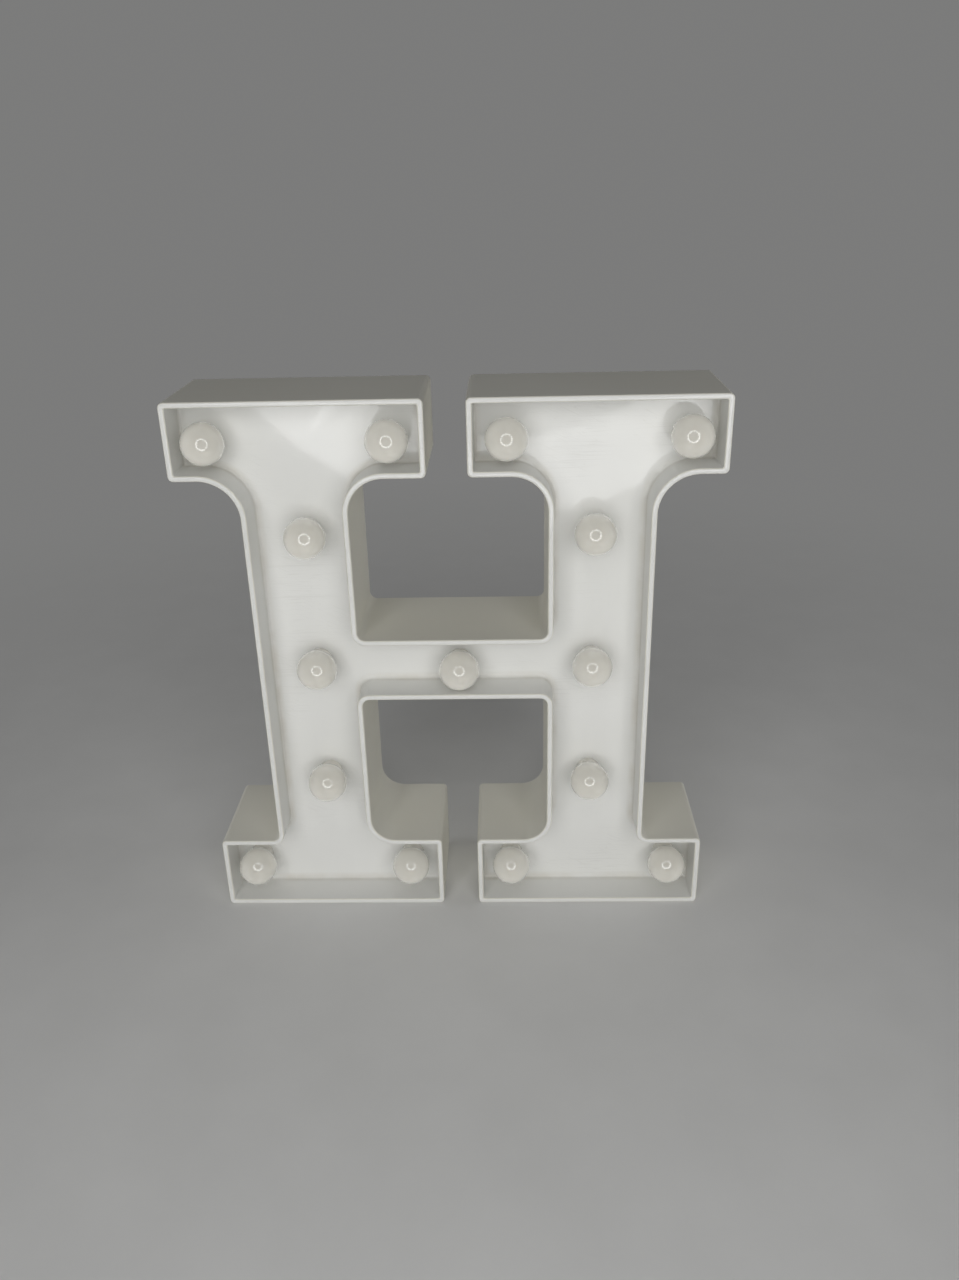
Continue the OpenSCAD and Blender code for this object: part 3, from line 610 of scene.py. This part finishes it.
def shell_plastic():
    """Glossy white moulded plastic with faint streaks and specks, painted shade on the outer walls, and
    painted shade with some dust in the tray's corners.
    """
    material, tree, shader = principled("shell_white_plastic")
    coords = object_coords(tree)
    front = facing_front(tree)
    cloud = remap(tree, noise(tree, coords, 55), 0.35, 0.7, 0.0, 1.0)
    face_colour = mix_colours(tree, cloud, *FACE_WHITE)
    # Outer walls, neither facing the front nor inside the tray, get the darker cream: painted shade
    shaded_wall_colour = mix_colours(tree, cloud, *SHADED_WALL_CREAM)
    inside = point_value(tree, INSIDE)
    colour = mix_colours(tree, math_node(tree, "MAXIMUM", front, inside), shaded_wall_colour, face_colour)
    # Brown in the tray's inner corners, where shade falls: painted shade, with some dust
    corner = point_value(tree, SHADE_AND_DUST)
    patchy = remap(tree, noise(tree, coords, 11, 4.0), 0.35, 0.65, 0.25, 1.0)
    shade_and_dust_in_corners = math_node(tree, "MULTIPLY", corner, SHADE_AND_DUST_COVER)
    shade_and_dust = math_node(tree, "MULTIPLY", shade_and_dust_in_corners, patchy)
    colour = mix_colours(tree, shade_and_dust, colour, SHADE_AND_DUST_BROWN)
    level = streaks(tree, coords, tilt=0.02, length_mm=60, width_mm=1.5, fineness=0.02)
    slanted = streaks(tree, coords, tilt=-0.45, length_mm=25, width_mm=1.2, fineness=0.01)
    lines = math_node(tree, "MULTIPLY", math_node(tree, "MAXIMUM", level, slanted), front)
    colour = mix_colours(tree, math_node(tree, "MULTIPLY", lines, STREAK_COVER), colour, STREAK_GREY)
    spots = specks(tree, coords, spacing_mm=17, radius_mm=0.35, share=0.12)
    colour = mix_colours(tree, math_node(tree, "MULTIPLY", spots, SPECK_COVER), colour, SPECK_BROWN)
    satin = remap(tree, front, 0.0, 1.0, WALL_ROUGHNESS, FACE_ROUGHNESS)
    smear = math_node(tree, "ADD", satin, remap(tree, noise(tree, coords, 30, 4.0), 0.3, 0.7, 0.0, 0.03))
    dusty = math_node(tree, "MULTIPLY_ADD", shade_and_dust, 0.4, smear)
    dulled = math_node(tree, "MULTIPLY_ADD", lines, 0.12, dusty)
    wavy = bump(tree, noise(tree, coords, 28, 1.0), 0.05)
    peel = bump(tree, noise(tree, coords, 0.9, 2.0), 0.002, wavy)
    scored = bump(tree, math_node(tree, "MULTIPLY", lines, -1.0), 0.006, peel)
    link_finish(tree, shader, colour, dulled, scored)
    return material


def textured_plastic(name, colours, grain_mm, depth_mm, roughness):
    """Moulded plastic with a fine spark-eroded grain."""
    material, tree, shader = principled(name)
    coords = object_coords(tree)
    cloud = remap(tree, noise(tree, coords, 40, 3.0), 0.3, 0.7, 0.0, 1.0)
    smear = remap(tree, noise(tree, coords, 18, 4.0), 0.3, 0.7, roughness - 0.06, roughness + 0.08)
    grain = bump(tree, noise(tree, coords, grain_mm, 3.0), depth_mm)
    link_finish(tree, shader, mix_colours(tree, cloud, *colours), smear, grain)
    return material


def bulb_plastic():
    """Glossy milky plastic, a little warmer and darker than the shell, each globe with its own tint."""
    material, tree, shader = principled(
        "bulb_milky_plastic",
        diffuse_roughness=1.0,
        specular_ior_level=1.0,
        coat_weight=1.0,
        coat_roughness=COAT_ROUGHNESS,
        subsurface_weight=0.15,
        subsurface_scale=SCATTER_L * MM,
        subsurface_radius=MILKY_SCATTER,
    )
    coords = object_coords(tree)
    own = add(tree, "ShaderNodeObjectInfo").outputs["Random"]
    cloud = remap(tree, noise(tree, coords, 9), 0.3, 0.7, 0.0, 0.6)
    blend = math_node(tree, "ADD", cloud, math_node(tree, "MULTIPLY", own, 0.4))
    colour = mix_colours(tree, blend, *MILKY)
    smear = remap(tree, noise(tree, coords, 5, 4.0), 0.3, 0.7, *GLOBE_ROUGHNESS)
    link_finish(tree, shader, colour, smear, bump(tree, noise(tree, coords, 3.0, 1.0), 0.006))
    return material


def metal(name, colours, roughness, grain_mm):
    """Plated metal with fine drawn grain and duller patches, part diffuse because few lamps are mirrored."""
    material, tree, shader = principled(name, metallic=PLATING)
    coords = object_coords(tree)
    drawn = add(tree, "ShaderNodeMapping", {"Vector": coords, "Scale": (1.0, 1.0, 0.12)}).outputs["Vector"]
    grain = noise(tree, drawn, grain_mm, 3.0)
    patch = remap(tree, noise(tree, coords, 4, 2.0), 0.35, 0.7, 0.0, 1.0)
    dull = remap(tree, grain, 0.3, 0.7, roughness - 0.08, roughness + 0.1)
    link_finish(tree, shader, mix_colours(tree, patch, *colours), dull, bump(tree, grain, 0.006))
    return material


# Pieces

def make_shell(material):
    """Tray with a round-edged rim, a recessed face with bulb holes, a ledge for the panel and bosses."""
    floor_edge = WALL + FLOOR_R
    section = rounded_path([
        (floor_edge + SHADE_AND_DUST_REACH, Y_FACE, 0),
        (floor_edge, Y_FACE, 0),
        (WALL, Y_FACE, FLOOR_R),
        (WALL, Y_FACE - FLOOR_R - SHADE_AND_DUST_REACH, 0),
        (WALL, Y_RIM, RIM_R),
        (0, Y_RIM, RIM_R),
        (0, Y_BACK, BACK_EDGE_R),
        (WALL - LEDGE_W, Y_BACK, BACK_EDGE_R),
        (WALL - LEDGE_W, Y_COVER, 0),
        (WALL, Y_COVER, 0),
        (WALL, Y_FACE_BACK, HIDDEN_R),
        (WALL + HIDDEN_R, Y_FACE_BACK, 0),
    ])
    bm = bmesh.new()
    inside = bm.verts.layers.float.new(INSIDE)
    # Points round the tray's inner corner carry the painted shade with its dust
    shade_and_dust = bm.verts.layers.float.new(SHADE_AND_DUST)
    rings = [ring(bm, outline(OUTLINE, p.x), p.y) for p in section]
    for p, loop in zip(section, rings):
        for v in loop:
            v[inside] = float(p.x >= WALL and p.y <= Y_FACE)
            v[shade_and_dust] = float(WALL <= p.x <= floor_edge and Y_FACE - FLOOR_R <= p.y <= Y_FACE)
    for a, b in zip(rings, rings[1:]):
        skin(bm, a, b)
    front_holes, back_holes = [], []
    for k in range(BULB_COUNT):
        x, z = bulb_place(k)
        front_holes.append(ring(bm, circle(x, z, HOLE_R, HOLE_SIDES), Y_FACE))
        back_holes.append(ring(bm, circle(x, z, HOLE_R, HOLE_SIDES), Y_FACE_BACK))
        skin(bm, front_holes[-1], back_holes[-1])
    fill(bm, rings[0], *front_holes)
    fill(bm, rings[-1], *back_holes)
    shell = new_object("shell", mesh_from(bm, "shell"))
    join_bosses(shell)
    place(shell, "letter", "shell_white", "front_shell", material)
    flat_shading_on_flats(shell)


def bulb_place(k):
    """Middle of a bulb's globe in x and z."""
    low, high = box_mm(f"bulb_{k + 1:02d}")
    return (low.x + high.x) / 2, (low.z + high.z) / 2


def bulb_profile():
    """Half section of a bulb as (radius, y) about its axis, from the front pole round to its inside."""
    y_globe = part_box("bulb_01")[0].y / MM + BULB_R
    reach = BULB_R + COLLAR_FILLET_R
    fillet_r = COLLAR_R + COLLAR_FILLET_R
    fillet_y = math.sqrt(reach ** 2 - fillet_r ** 2)
    leave = math.pi - math.asin(fillet_r / reach)
    start = math.atan2(-fillet_y, -fillet_r)
    globe_turns = between(0, leave, GLOBE_STEPS)[1:]
    globe = [(BULB_R * math.sin(a), y_globe - BULB_R * math.cos(a)) for a in globe_turns]
    fillet = [
        (fillet_r + COLLAR_FILLET_R * math.cos(a), y_globe + fillet_y + COLLAR_FILLET_R * math.sin(a))
        for a in between(start, -math.pi, FILLET_STEPS)[1:]
    ]
    neck = [
        (COLLAR_R, Y_FACE),
        (NECK_R, Y_FACE),
        (NECK_R, Y_FACE_BACK + SNAP_GAP),
        (LIP_R, Y_FACE_BACK + SNAP_GAP),
        (NECK_R, Y_NECK_END),
        (BORE_R, Y_NECK_END),
    ]
    inner_r = BULB_R - BULB_WALL
    enter = math.pi - math.asin(BORE_R / inner_r)
    inner_turns = between(enter, 0, INNER_STEPS)[:-1]
    inside = [(inner_r * math.sin(a), y_globe - inner_r * math.cos(a)) for a in inner_turns]
    front_pole, inner_pole = (0, y_globe - BULB_R), (0, y_globe - inner_r)
    return [front_pole, *globe, *fillet, *neck, *inside, inner_pole]


def make_bulbs(material):
    """Hollow globes on snap-in necks, one in each hole of the face."""
    bm = bmesh.new()
    lathe(bm, bulb_profile(), GLOBE_SIDES)
    mesh = mesh_from(bm, "globe")
    for k in range(BULB_COUNT):
        x, z = bulb_place(k)
        globe = new_object(f"globe_{k + 1:02d}", mesh)
        globe.location = (x * MM, 0, z * MM)
        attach(globe, "letter")
        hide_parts(f"bulb_{k + 1:02d}")
    mesh.materials.append(material)


def make_rear_panel(material):
    """Inset panel with keyholes, screw wells, battery tub and switch pocket."""
    bm = bmesh.new()
    loops = [
        lambda t: outline(OUTLINE, COVER_INSET + t),
        lambda t: rectangle(STEM_X - DOOR_HALF, STEM_X + DOOR_HALF, DOOR_LOW, DOOR_TOP, t),
        lambda t: around(SWITCH_X, SWITCH_Z, POCKET_HALF, t),
        lambda t: keyhole(-STEM_X, KEYHOLE_Z, t),
        lambda t: keyhole(STEM_X, KEYHOLE_Z, t),
    ]
    loops += [lambda t, x=x, z=z: circle(x, z, HEAD_HOLE_R + t, WELL_SIDES) for x, z in SCREW_PLACES]
    plate(bm, loops, Y_BACK, Y_COVER, PANEL_EDGE_R)
    for x, z in SCREW_PLACES:
        well = [
            lambda t: circle(x, z, WELL_R - t, WELL_SIDES),
            lambda t: circle(x, z, SCREW_HOLE_R + t, WELL_SIDES),
        ]
        plate(bm, well, Y_BOSS_END, Y_COVER, WELL_EDGE_R, 1)
    make_switch_pad(bm)
    tub = make_tub()
    bm.from_mesh(tub.data)
    bpy.data.objects.remove(tub)
    panel = new_object("rear_panel", mesh_from(bm, "rear_panel"))
    place(panel, "letter", "cover_white", "rear_cover", material)
    flat_shading_on_flats(panel)


def make_switch_pad(bm):
    """Pad in front of the panel that the switch is screwed to, with a slot at the end of its pocket."""
    y_pad = Y_COVER - PAD_T
    y_pocket = Y_BACK - POCKET_D
    levels = [
        (PAD_HALF, Y_COVER),
        (PAD_HALF, y_pad),
        (SLOT_HALF, y_pad),
        (SLOT_HALF, y_pocket),
        (POCKET_HALF, y_pocket),
        (POCKET_HALF, Y_COVER),
    ]
    rings = [ring(bm, around(SWITCH_X, SWITCH_Z, half), y) for half, y in levels]
    for a, b in zip(rings, rings[1:] + rings[:1]):
        skin(bm, a, b)


def make_tub():
    """Open box for two cells in front of the panel, with slots for the contacts' solder tabs."""
    def loop(grow):
        return rectangle(STEM_X - TUB_HALF, STEM_X + TUB_HALF, TUB_LOW, TUB_TOP, grow)
    bm = bmesh.new()
    outer_floor = ring(bm, loop(TUB_WALL), Y_TUB_FLOOR - TUB_WALL)
    outer_rim = ring(bm, loop(TUB_WALL), Y_COVER)
    inner_rim = ring(bm, loop(0.0), Y_COVER)
    inner_floor = ring(bm, loop(0.0), Y_TUB_FLOOR)
    for a, b in ((outer_floor, outer_rim), (outer_rim, inner_rim), (inner_rim, inner_floor)):
        skin(bm, a, b)
    bm.faces.new(outer_floor)
    bm.faces.new(inner_floor)
    tub = new_object("tub", mesh_from(bm, "tub"))
    slots = bmesh.new()
    half_w, half_t = TAB_W / 2 + TAB_GAP, TAB_T / 2 + TAB_GAP
    for x in (STEM_X - CELL_HALF, STEM_X + CELL_HALF):
        low = (x - half_w, Y_TAB - half_t, TUB_TOP - BITE)
        block(slots, low, (x + half_w, Y_TAB + half_t, TUB_TOP + TUB_WALL + BITE))
    boolean(tub, new_object("slots", mesh_from(slots, "slots")), "DIFFERENCE")
    return tub


def rod(bm, x, z, radius, y_low, y_high):
    """Round bar along y."""
    ends = [ring(bm, circle(x, z, radius, HOLE_SIDES), y) for y in (y_low, y_high)]
    skin(bm, *ends)
    for end in ends:
        bm.faces.new(end)


def block(bm, low, high):
    """Box between two corners."""
    made = bmesh.ops.create_cube(bm, size=1.0)["verts"]
    middle, size = (Vector(low) + Vector(high)) / 2, Vector(high) - Vector(low)
    for v in made:
        v.co = Vector(m + c * s for m, c, s in zip(middle, v.co, size)) * MM


def join_bosses(shell):
    """Screw bosses behind the face, each with a blind hole."""
    bosses, pilots = bmesh.new(), bmesh.new()
    for x, z in SCREW_PLACES:
        rod(bosses, x, z, BOSS_R, Y_FACE_BACK - BITE, Y_BOSS_END)
        rod(pilots, x, z, SCREW_HOLE_R, Y_PILOT_END, Y_BOSS_END + BITE)
    boolean(shell, new_object("bosses", mesh_from(bosses, "bosses")), "UNION")
    boolean(shell, new_object("pilots", mesh_from(pilots, "pilots")), "DIFFERENCE")


# Order of a cell's materials
STEEL, JACKET, BAND, FILM = range(4)


def make_cell(node, *materials):
    """AA cell with a rolled jacket, a plain band, a steel cap with its nub and a steel base."""
    low, high = box_mm(node)
    r, length = (high.x - low.x) / 2, high.z - low.z
    base = [(0, 0), (CELL_BASE_R - 0.3, 0), (CELL_BASE_R, 0.3)]
    roll = [(JACKET_IN_R, 0.35), (JACKET_IN_R + 0.5, 0.1)]
    foot = [*roll, (r - 0.5, 0.1), (r - 0.15, 0.3), (r, 0.8)]
    shoulder = [(r, JACKET_TOP - 1), (r - 0.2, JACKET_TOP - 0.4), (r - 0.6, JACKET_TOP - 0.1)]
    film = [(JACKET_IN_R + 0.2, JACKET_TOP), (JACKET_IN_R, JACKET_TOP - 0.2)]
    nub = [(NUB_R + 0.5, JACKET_TOP - 0.2), (NUB_R + 0.1, JACKET_TOP + 0.1), (NUB_R, length - 0.4)]
    tip = [(NUB_R - 0.3, length), (0, length)]
    stretches = [
        (base, STEEL), (foot, JACKET), ([(r, BAND_LOW)], BAND), ([(r, BAND_TOP)], JACKET),
        (shoulder, JACKET), (film, FILM), (nub, STEEL), (tip, STEEL),
    ]
    profile = [point for points, _ in stretches for point in points]
    faces = [material for points, material in stretches for _ in points]
    bm = bmesh.new()
    lathe(bm, profile, CELL_SIDES, faces)
    nub_up = node == "cell_right"
    upright = Matrix.Rotation(math.radians(90 if nub_up else -90), 4, "X")
    at = Vector(((low.x + high.x) / 2, (low.y + high.y) / 2, low.z if nub_up else high.z)) * MM
    bm.transform(Matrix.Translation(at) @ upright)
    piece = new_object(f"{node}_dressed", mesh_from(bm, node))
    place(piece, "letter", "cell_jacket", node, *materials)


def make_springs(steel):
    """Conical contact springs, one on the negative plate and one on the bridge."""
    low, high = box_mm("contact_springs")
    y = (box_mm("cell_left")[0].y + box_mm("cell_left")[1].y) / 2
    count = round(SPRING_TURNS * SPRING_STEPS)
    bm = bmesh.new()
    for x, z, up in ((STEM_X - CELL_HALF, high.z, -1), (STEM_X + CELL_HALF, low.z, 1)):
        wire = []
        for k in range(count + 1):
            share, turn = k / count, 2 * math.pi * k / SPRING_STEPS
            r = SPRING_BASE_R + (SPRING_TIP_R - SPRING_BASE_R) * share
            rise = SPRING_WIRE_R + (SPRING_L - 2 * SPRING_WIRE_R) * share
            wire.append(Vector((x + r * math.cos(turn), y + up * r * math.sin(turn), z + up * rise)))
        tube(bm, wire, SPRING_WIRE_R, WIRE_SIDES)
    piece = new_object("springs", mesh_from(bm, "springs"))
    place(piece, "letter", "contact_nickel", "contact_springs", steel)


def cross_outline(share):
    """Closed loop round the cross recess of a screw, at a share of its full size."""
    half_w, half_l = CROSS_HALF_W * share, CROSS_HALF_L * share
    quarter = [(half_w, half_w), (half_w, half_l), (-half_w, half_l)]
    loop = []
    for _ in range(4):
        loop += [Vector(p) for p in quarter]
        quarter = [(-z, x) for x, z in quarter]
    return loop


def make_screws(steel):
    """Pan-head screws with a cross recess, in the panel's wells."""
    y_tip, y_dome, dome_h = Y_COVER - SCREW_L, Y_COVER + HEAD_SKIRT, HEAD_H - HEAD_SKIRT
    shank = [(0, y_tip), (TIP_R, y_tip), (SCREW_R, y_tip + TIP_L), (SCREW_R, Y_COVER)]
    skirt = [(HEAD_R - SKIRT_EDGE, Y_COVER), (HEAD_R, Y_COVER + SKIRT_EDGE)]
    dome_turns = between(0, DOME_END, DOME_STEPS)
    dome = [(HEAD_R * math.cos(a), y_dome + dome_h * math.sin(a)) for a in dome_turns]
    bm = bmesh.new()
    lathe(bm, [*shank, *skirt, *dome, (0, Y_COVER + HEAD_H)], SCREW_SIDES)
    screw = new_object("screw", mesh_from(bm, "screw"))
    cross = bmesh.new()
    ends = [ring(cross, cross_outline(CROSS_TAPER), y_dome), ring(cross, cross_outline(1.0), Y_BACK + BITE)]
    skin(cross, *ends)
    for end in ends:
        cross.faces.new(end)
    boolean(screw, new_object("cross", mesh_from(cross, "cross")), "DIFFERENCE")
    bm = bmesh.new()
    for k, (x, z) in enumerate(SCREW_PLACES):
        start = len(bm.verts)
        bm.from_mesh(screw.data)
        bm.verts.ensure_lookup_table()
        turned = Matrix.Translation(Vector((x, 0, z)) * MM) @ Matrix.Rotation(SCREW_TURN * k, 4, "Y")
        for v in bm.verts[start:]:
            v.co = turned @ v.co
    bpy.data.objects.remove(screw)
    piece = new_object("panel_screws", mesh_from(bm, "panel_screws"))
    place(piece, "letter", "screw_zinc", "cover_screws", steel)


def dress(material, *names):
    """Material of CAD nodes that keep their own shape."""
    for name in names:
        nodes[name].data.materials.clear()
        nodes[name].data.materials.append(material)


white = shell_plastic()
milky = bulb_plastic()
grained = textured_plastic("cover_white_plastic", COVER_WHITE, grain_mm=0.5, depth_mm=0.03, roughness=0.42)
black = textured_plastic("knob_black_plastic", KNOB_BLACK, grain_mm=0.3, depth_mm=0.02, roughness=0.45)
epoxy = textured_plastic("led_epoxy", LED_YELLOW, grain_mm=2.0, depth_mm=0.01, roughness=0.15)
glue = textured_plastic("hot_melt", GLUE_AMBER, grain_mm=1.5, depth_mm=0.08, roughness=0.3)
red_pvc = textured_plastic("red_wire", WIRE_RED, grain_mm=0.8, depth_mm=0.02, roughness=0.4)
black_pvc = textured_plastic("black_wire", WIRE_BLACK, grain_mm=0.8, depth_mm=0.02, roughness=0.4)
lacquer = textured_plastic("resistor_lacquer", LACQUER_TAN, grain_mm=1.0, depth_mm=0.02, roughness=0.35)
jacket = textured_plastic("cell_jacket_film", JACKET_BLUE, grain_mm=3.0, depth_mm=0.01, roughness=0.28)
band = textured_plastic("cell_band", BAND_GREY, grain_mm=3.0, depth_mm=0.01, roughness=0.28)
film = textured_plastic("cell_ring", FILM_WHITE, grain_mm=1.0, depth_mm=0.02, roughness=0.5)
nickel = metal("nickel_plate", NICKEL, roughness=0.26, grain_mm=0.15)
zinc = metal("zinc_plate", ZINC, roughness=0.32, grain_mm=0.12)
sheet = metal("switch_sheet", SHEET_STEEL, roughness=0.30, grain_mm=0.15)

make_shell(white)
make_bulbs(milky)
make_rear_panel(grained)
for cell in ("cell_left", "cell_right"):
    make_cell(cell, nickel, jacket, band, film)
make_springs(nickel)
make_screws(zinc)
dress(grained, "battery_door")
soften("battery_door", DOOR_EDGE_R)
dress(black, "switch_slider")
soften("switch_slider", SLIDER_EDGE_R)
dress(epoxy, *[f"led_{k + 1:02d}" for k in range(BULB_COUNT)])
dress(glue, "led_glue_beads")
dress(red_pvc, "supply_wires", "switch_lead")
dress(black_pvc, "return_wires")
dress(lacquer, "resistor")
dress(nickel, "contact_positive", "contact_negative", "contact_bridge", "switch_terminals")
dress(sheet, "switch_can")
dress(zinc, "switch_screws")


# Stage, camera and lamps

def seen_rays(tree):
    """1 for rays that see a surface directly, mirrored or through something clear, and 0 for light."""
    path = add(tree, "ShaderNodeLightPath").outputs
    mirrored = math_node(tree, "MAXIMUM", path["Is Glossy Ray"], path["Is Transmission Ray"])
    return math_node(tree, "MAXIMUM", path["Is Camera Ray"], mirrored)


def make_floor():
    """Large pale floor that runs into the background's colour far from the letter."""
    bm = bmesh.new()
    bmesh.ops.create_grid(bm, x_segments=1, y_segments=1, size=FLOOR_HALF * MM)
    floor = new_object("floor", mesh_from(bm, "floor"))
    material, tree, shader = principled("pale_floor", roughness=0.85, specular_ior_level=0.2)
    coords = object_coords(tree)
    mottle = remap(tree, noise(tree, coords, 35, 4.0), 0.3, 0.7, 0.0, 1.0)
    tint = mix_colours(tree, mottle, FLOOR_COLOUR, tuple(FLOOR_SHADE * c for c in FLOOR_COLOUR))
    tree.links.new(tint, shader.inputs["Base Color"])
    backdrop = add(tree, "ShaderNodeEmission", {"Color": (*BACKGROUND_COLOUR, 1.0), "Strength": 1.0})
    away = add(tree, "ShaderNodeVectorMath", {0: coords}, operation="LENGTH").outputs["Value"]
    far = remap(tree, away, FLOOR_FADE[0] * MM, FLOOR_FADE[1] * MM, 0.0, 1.0)
    blend = add(tree, "ShaderNodeMixShader", {"Fac": math_node(tree, "MULTIPLY", far, seen_rays(tree))})
    tree.links.new(shader.outputs["BSDF"], blend.inputs[1])
    tree.links.new(backdrop.outputs["Emission"], blend.inputs[2])
    tree.links.new(blend.outputs["Shader"], tree.nodes["Material Output"].inputs["Surface"])
    floor.data.materials.append(material)


def make_world():
    """Even soft surroundings; what is seen directly or mirrored is the background's colour."""
    world = bpy.data.worlds.new("studio")
    bpy.context.scene.world = world
    world.use_nodes = True
    tree = world.node_tree
    light = tree.nodes["Background"]
    light.inputs["Color"].default_value = (*AMBIENT_COLOUR, 1.0)
    light.inputs["Strength"].default_value = AMBIENT
    backdrop = add(tree, "ShaderNodeBackground", {"Color": (*BACKGROUND_COLOUR, 1.0), "Strength": 1.0})
    blend = add(tree, "ShaderNodeMixShader", {"Fac": seen_rays(tree)})
    tree.links.new(light.outputs["Background"], blend.inputs[1])
    tree.links.new(backdrop.outputs["Background"], blend.inputs[2])
    tree.links.new(blend.outputs["Shader"], tree.nodes["World Output"].inputs["Surface"])


def camera_matrix():
    """Camera that first looks along +Y with +X to the right, then turns."""
    turn = Matrix.Rotation(math.radians(CAMERA_TURN.length), 3, CAMERA_TURN)
    right, down, ahead = (turn @ LEVEL_VIEW)
    matrix = Matrix((right, -down, -ahead)).transposed().to_4x4()
    matrix.translation = CAMERA_AT * MM
    return matrix


def make_camera():
    """Camera at the photograph's viewpoint."""
    data = bpy.data.cameras.new("camera")
    data.sensor_width = SENSOR
    data.lens = FOCAL_PX / PHOTO_H * SENSOR
    data.clip_start = NEAR_CLIP
    camera = new_object("camera", data)
    camera.matrix_world = camera_matrix()
    bpy.context.scene.camera = camera


def area_light(name, matrix, size, watts, spread=180, mirrored=True):
    """Flat soft lamp, with a grid where its spread in degrees is less than 180."""
    data = bpy.data.lights.new(name, "AREA")
    data.shape = "RECTANGLE"
    data.size, data.size_y = size[0] * MM, size[1] * MM
    data.energy = watts
    data.spread = math.radians(spread)
    light = new_object(name, data)
    light.matrix_world = matrix
    light.visible_glossy = mirrored


def make_ring_light():
    """Upright ring of soft lamps round the camera, facing the letter."""
    about = Matrix.Translation(CAMERA_AT * MM) @ LEVEL_VIEW.to_4x4()
    out = Matrix.Translation((RING_R * MM, 0, 0))
    length = 2 * math.pi * (RING_R + RING_W / 2) / RING_COUNT
    for k in range(RING_COUNT):
        turn = Matrix.Rotation(2 * math.pi * k / RING_COUNT, 4, "Z")
        area_light(f"ring_{k:02d}", about @ turn @ out, (RING_W, length), RING_WATTS / RING_COUNT)


def soft_light(name, lamp, side=1, spread=180):
    """Soft lamp aimed at the letter and left out of reflections, on its own side or the other one."""
    (x, y, z), size, watts = lamp
    at = Vector((side * x, y, z))
    turn = (Vector(AIM) - at).to_track_quat("-Z", "Y").to_matrix().to_4x4()
    area_light(name, Matrix.Translation(at * MM) @ turn, size, watts, spread, mirrored=False)


make_floor()
make_world()
make_camera()
make_ring_light()
soft_light("front_soft", FRONT_LAMP)
soft_light("back_soft", BACK_LAMP)
for side, name in ((-1, "left"), (1, "right")):
    soft_light(f"back_soft_{name}", OBLIQUE_LAMP, side, OBLIQUE_SPREAD)
    soft_light(f"side_soft_{name}", SIDE_LAMP, side)

bpy.context.scene.view_settings.view_transform = "Standard"
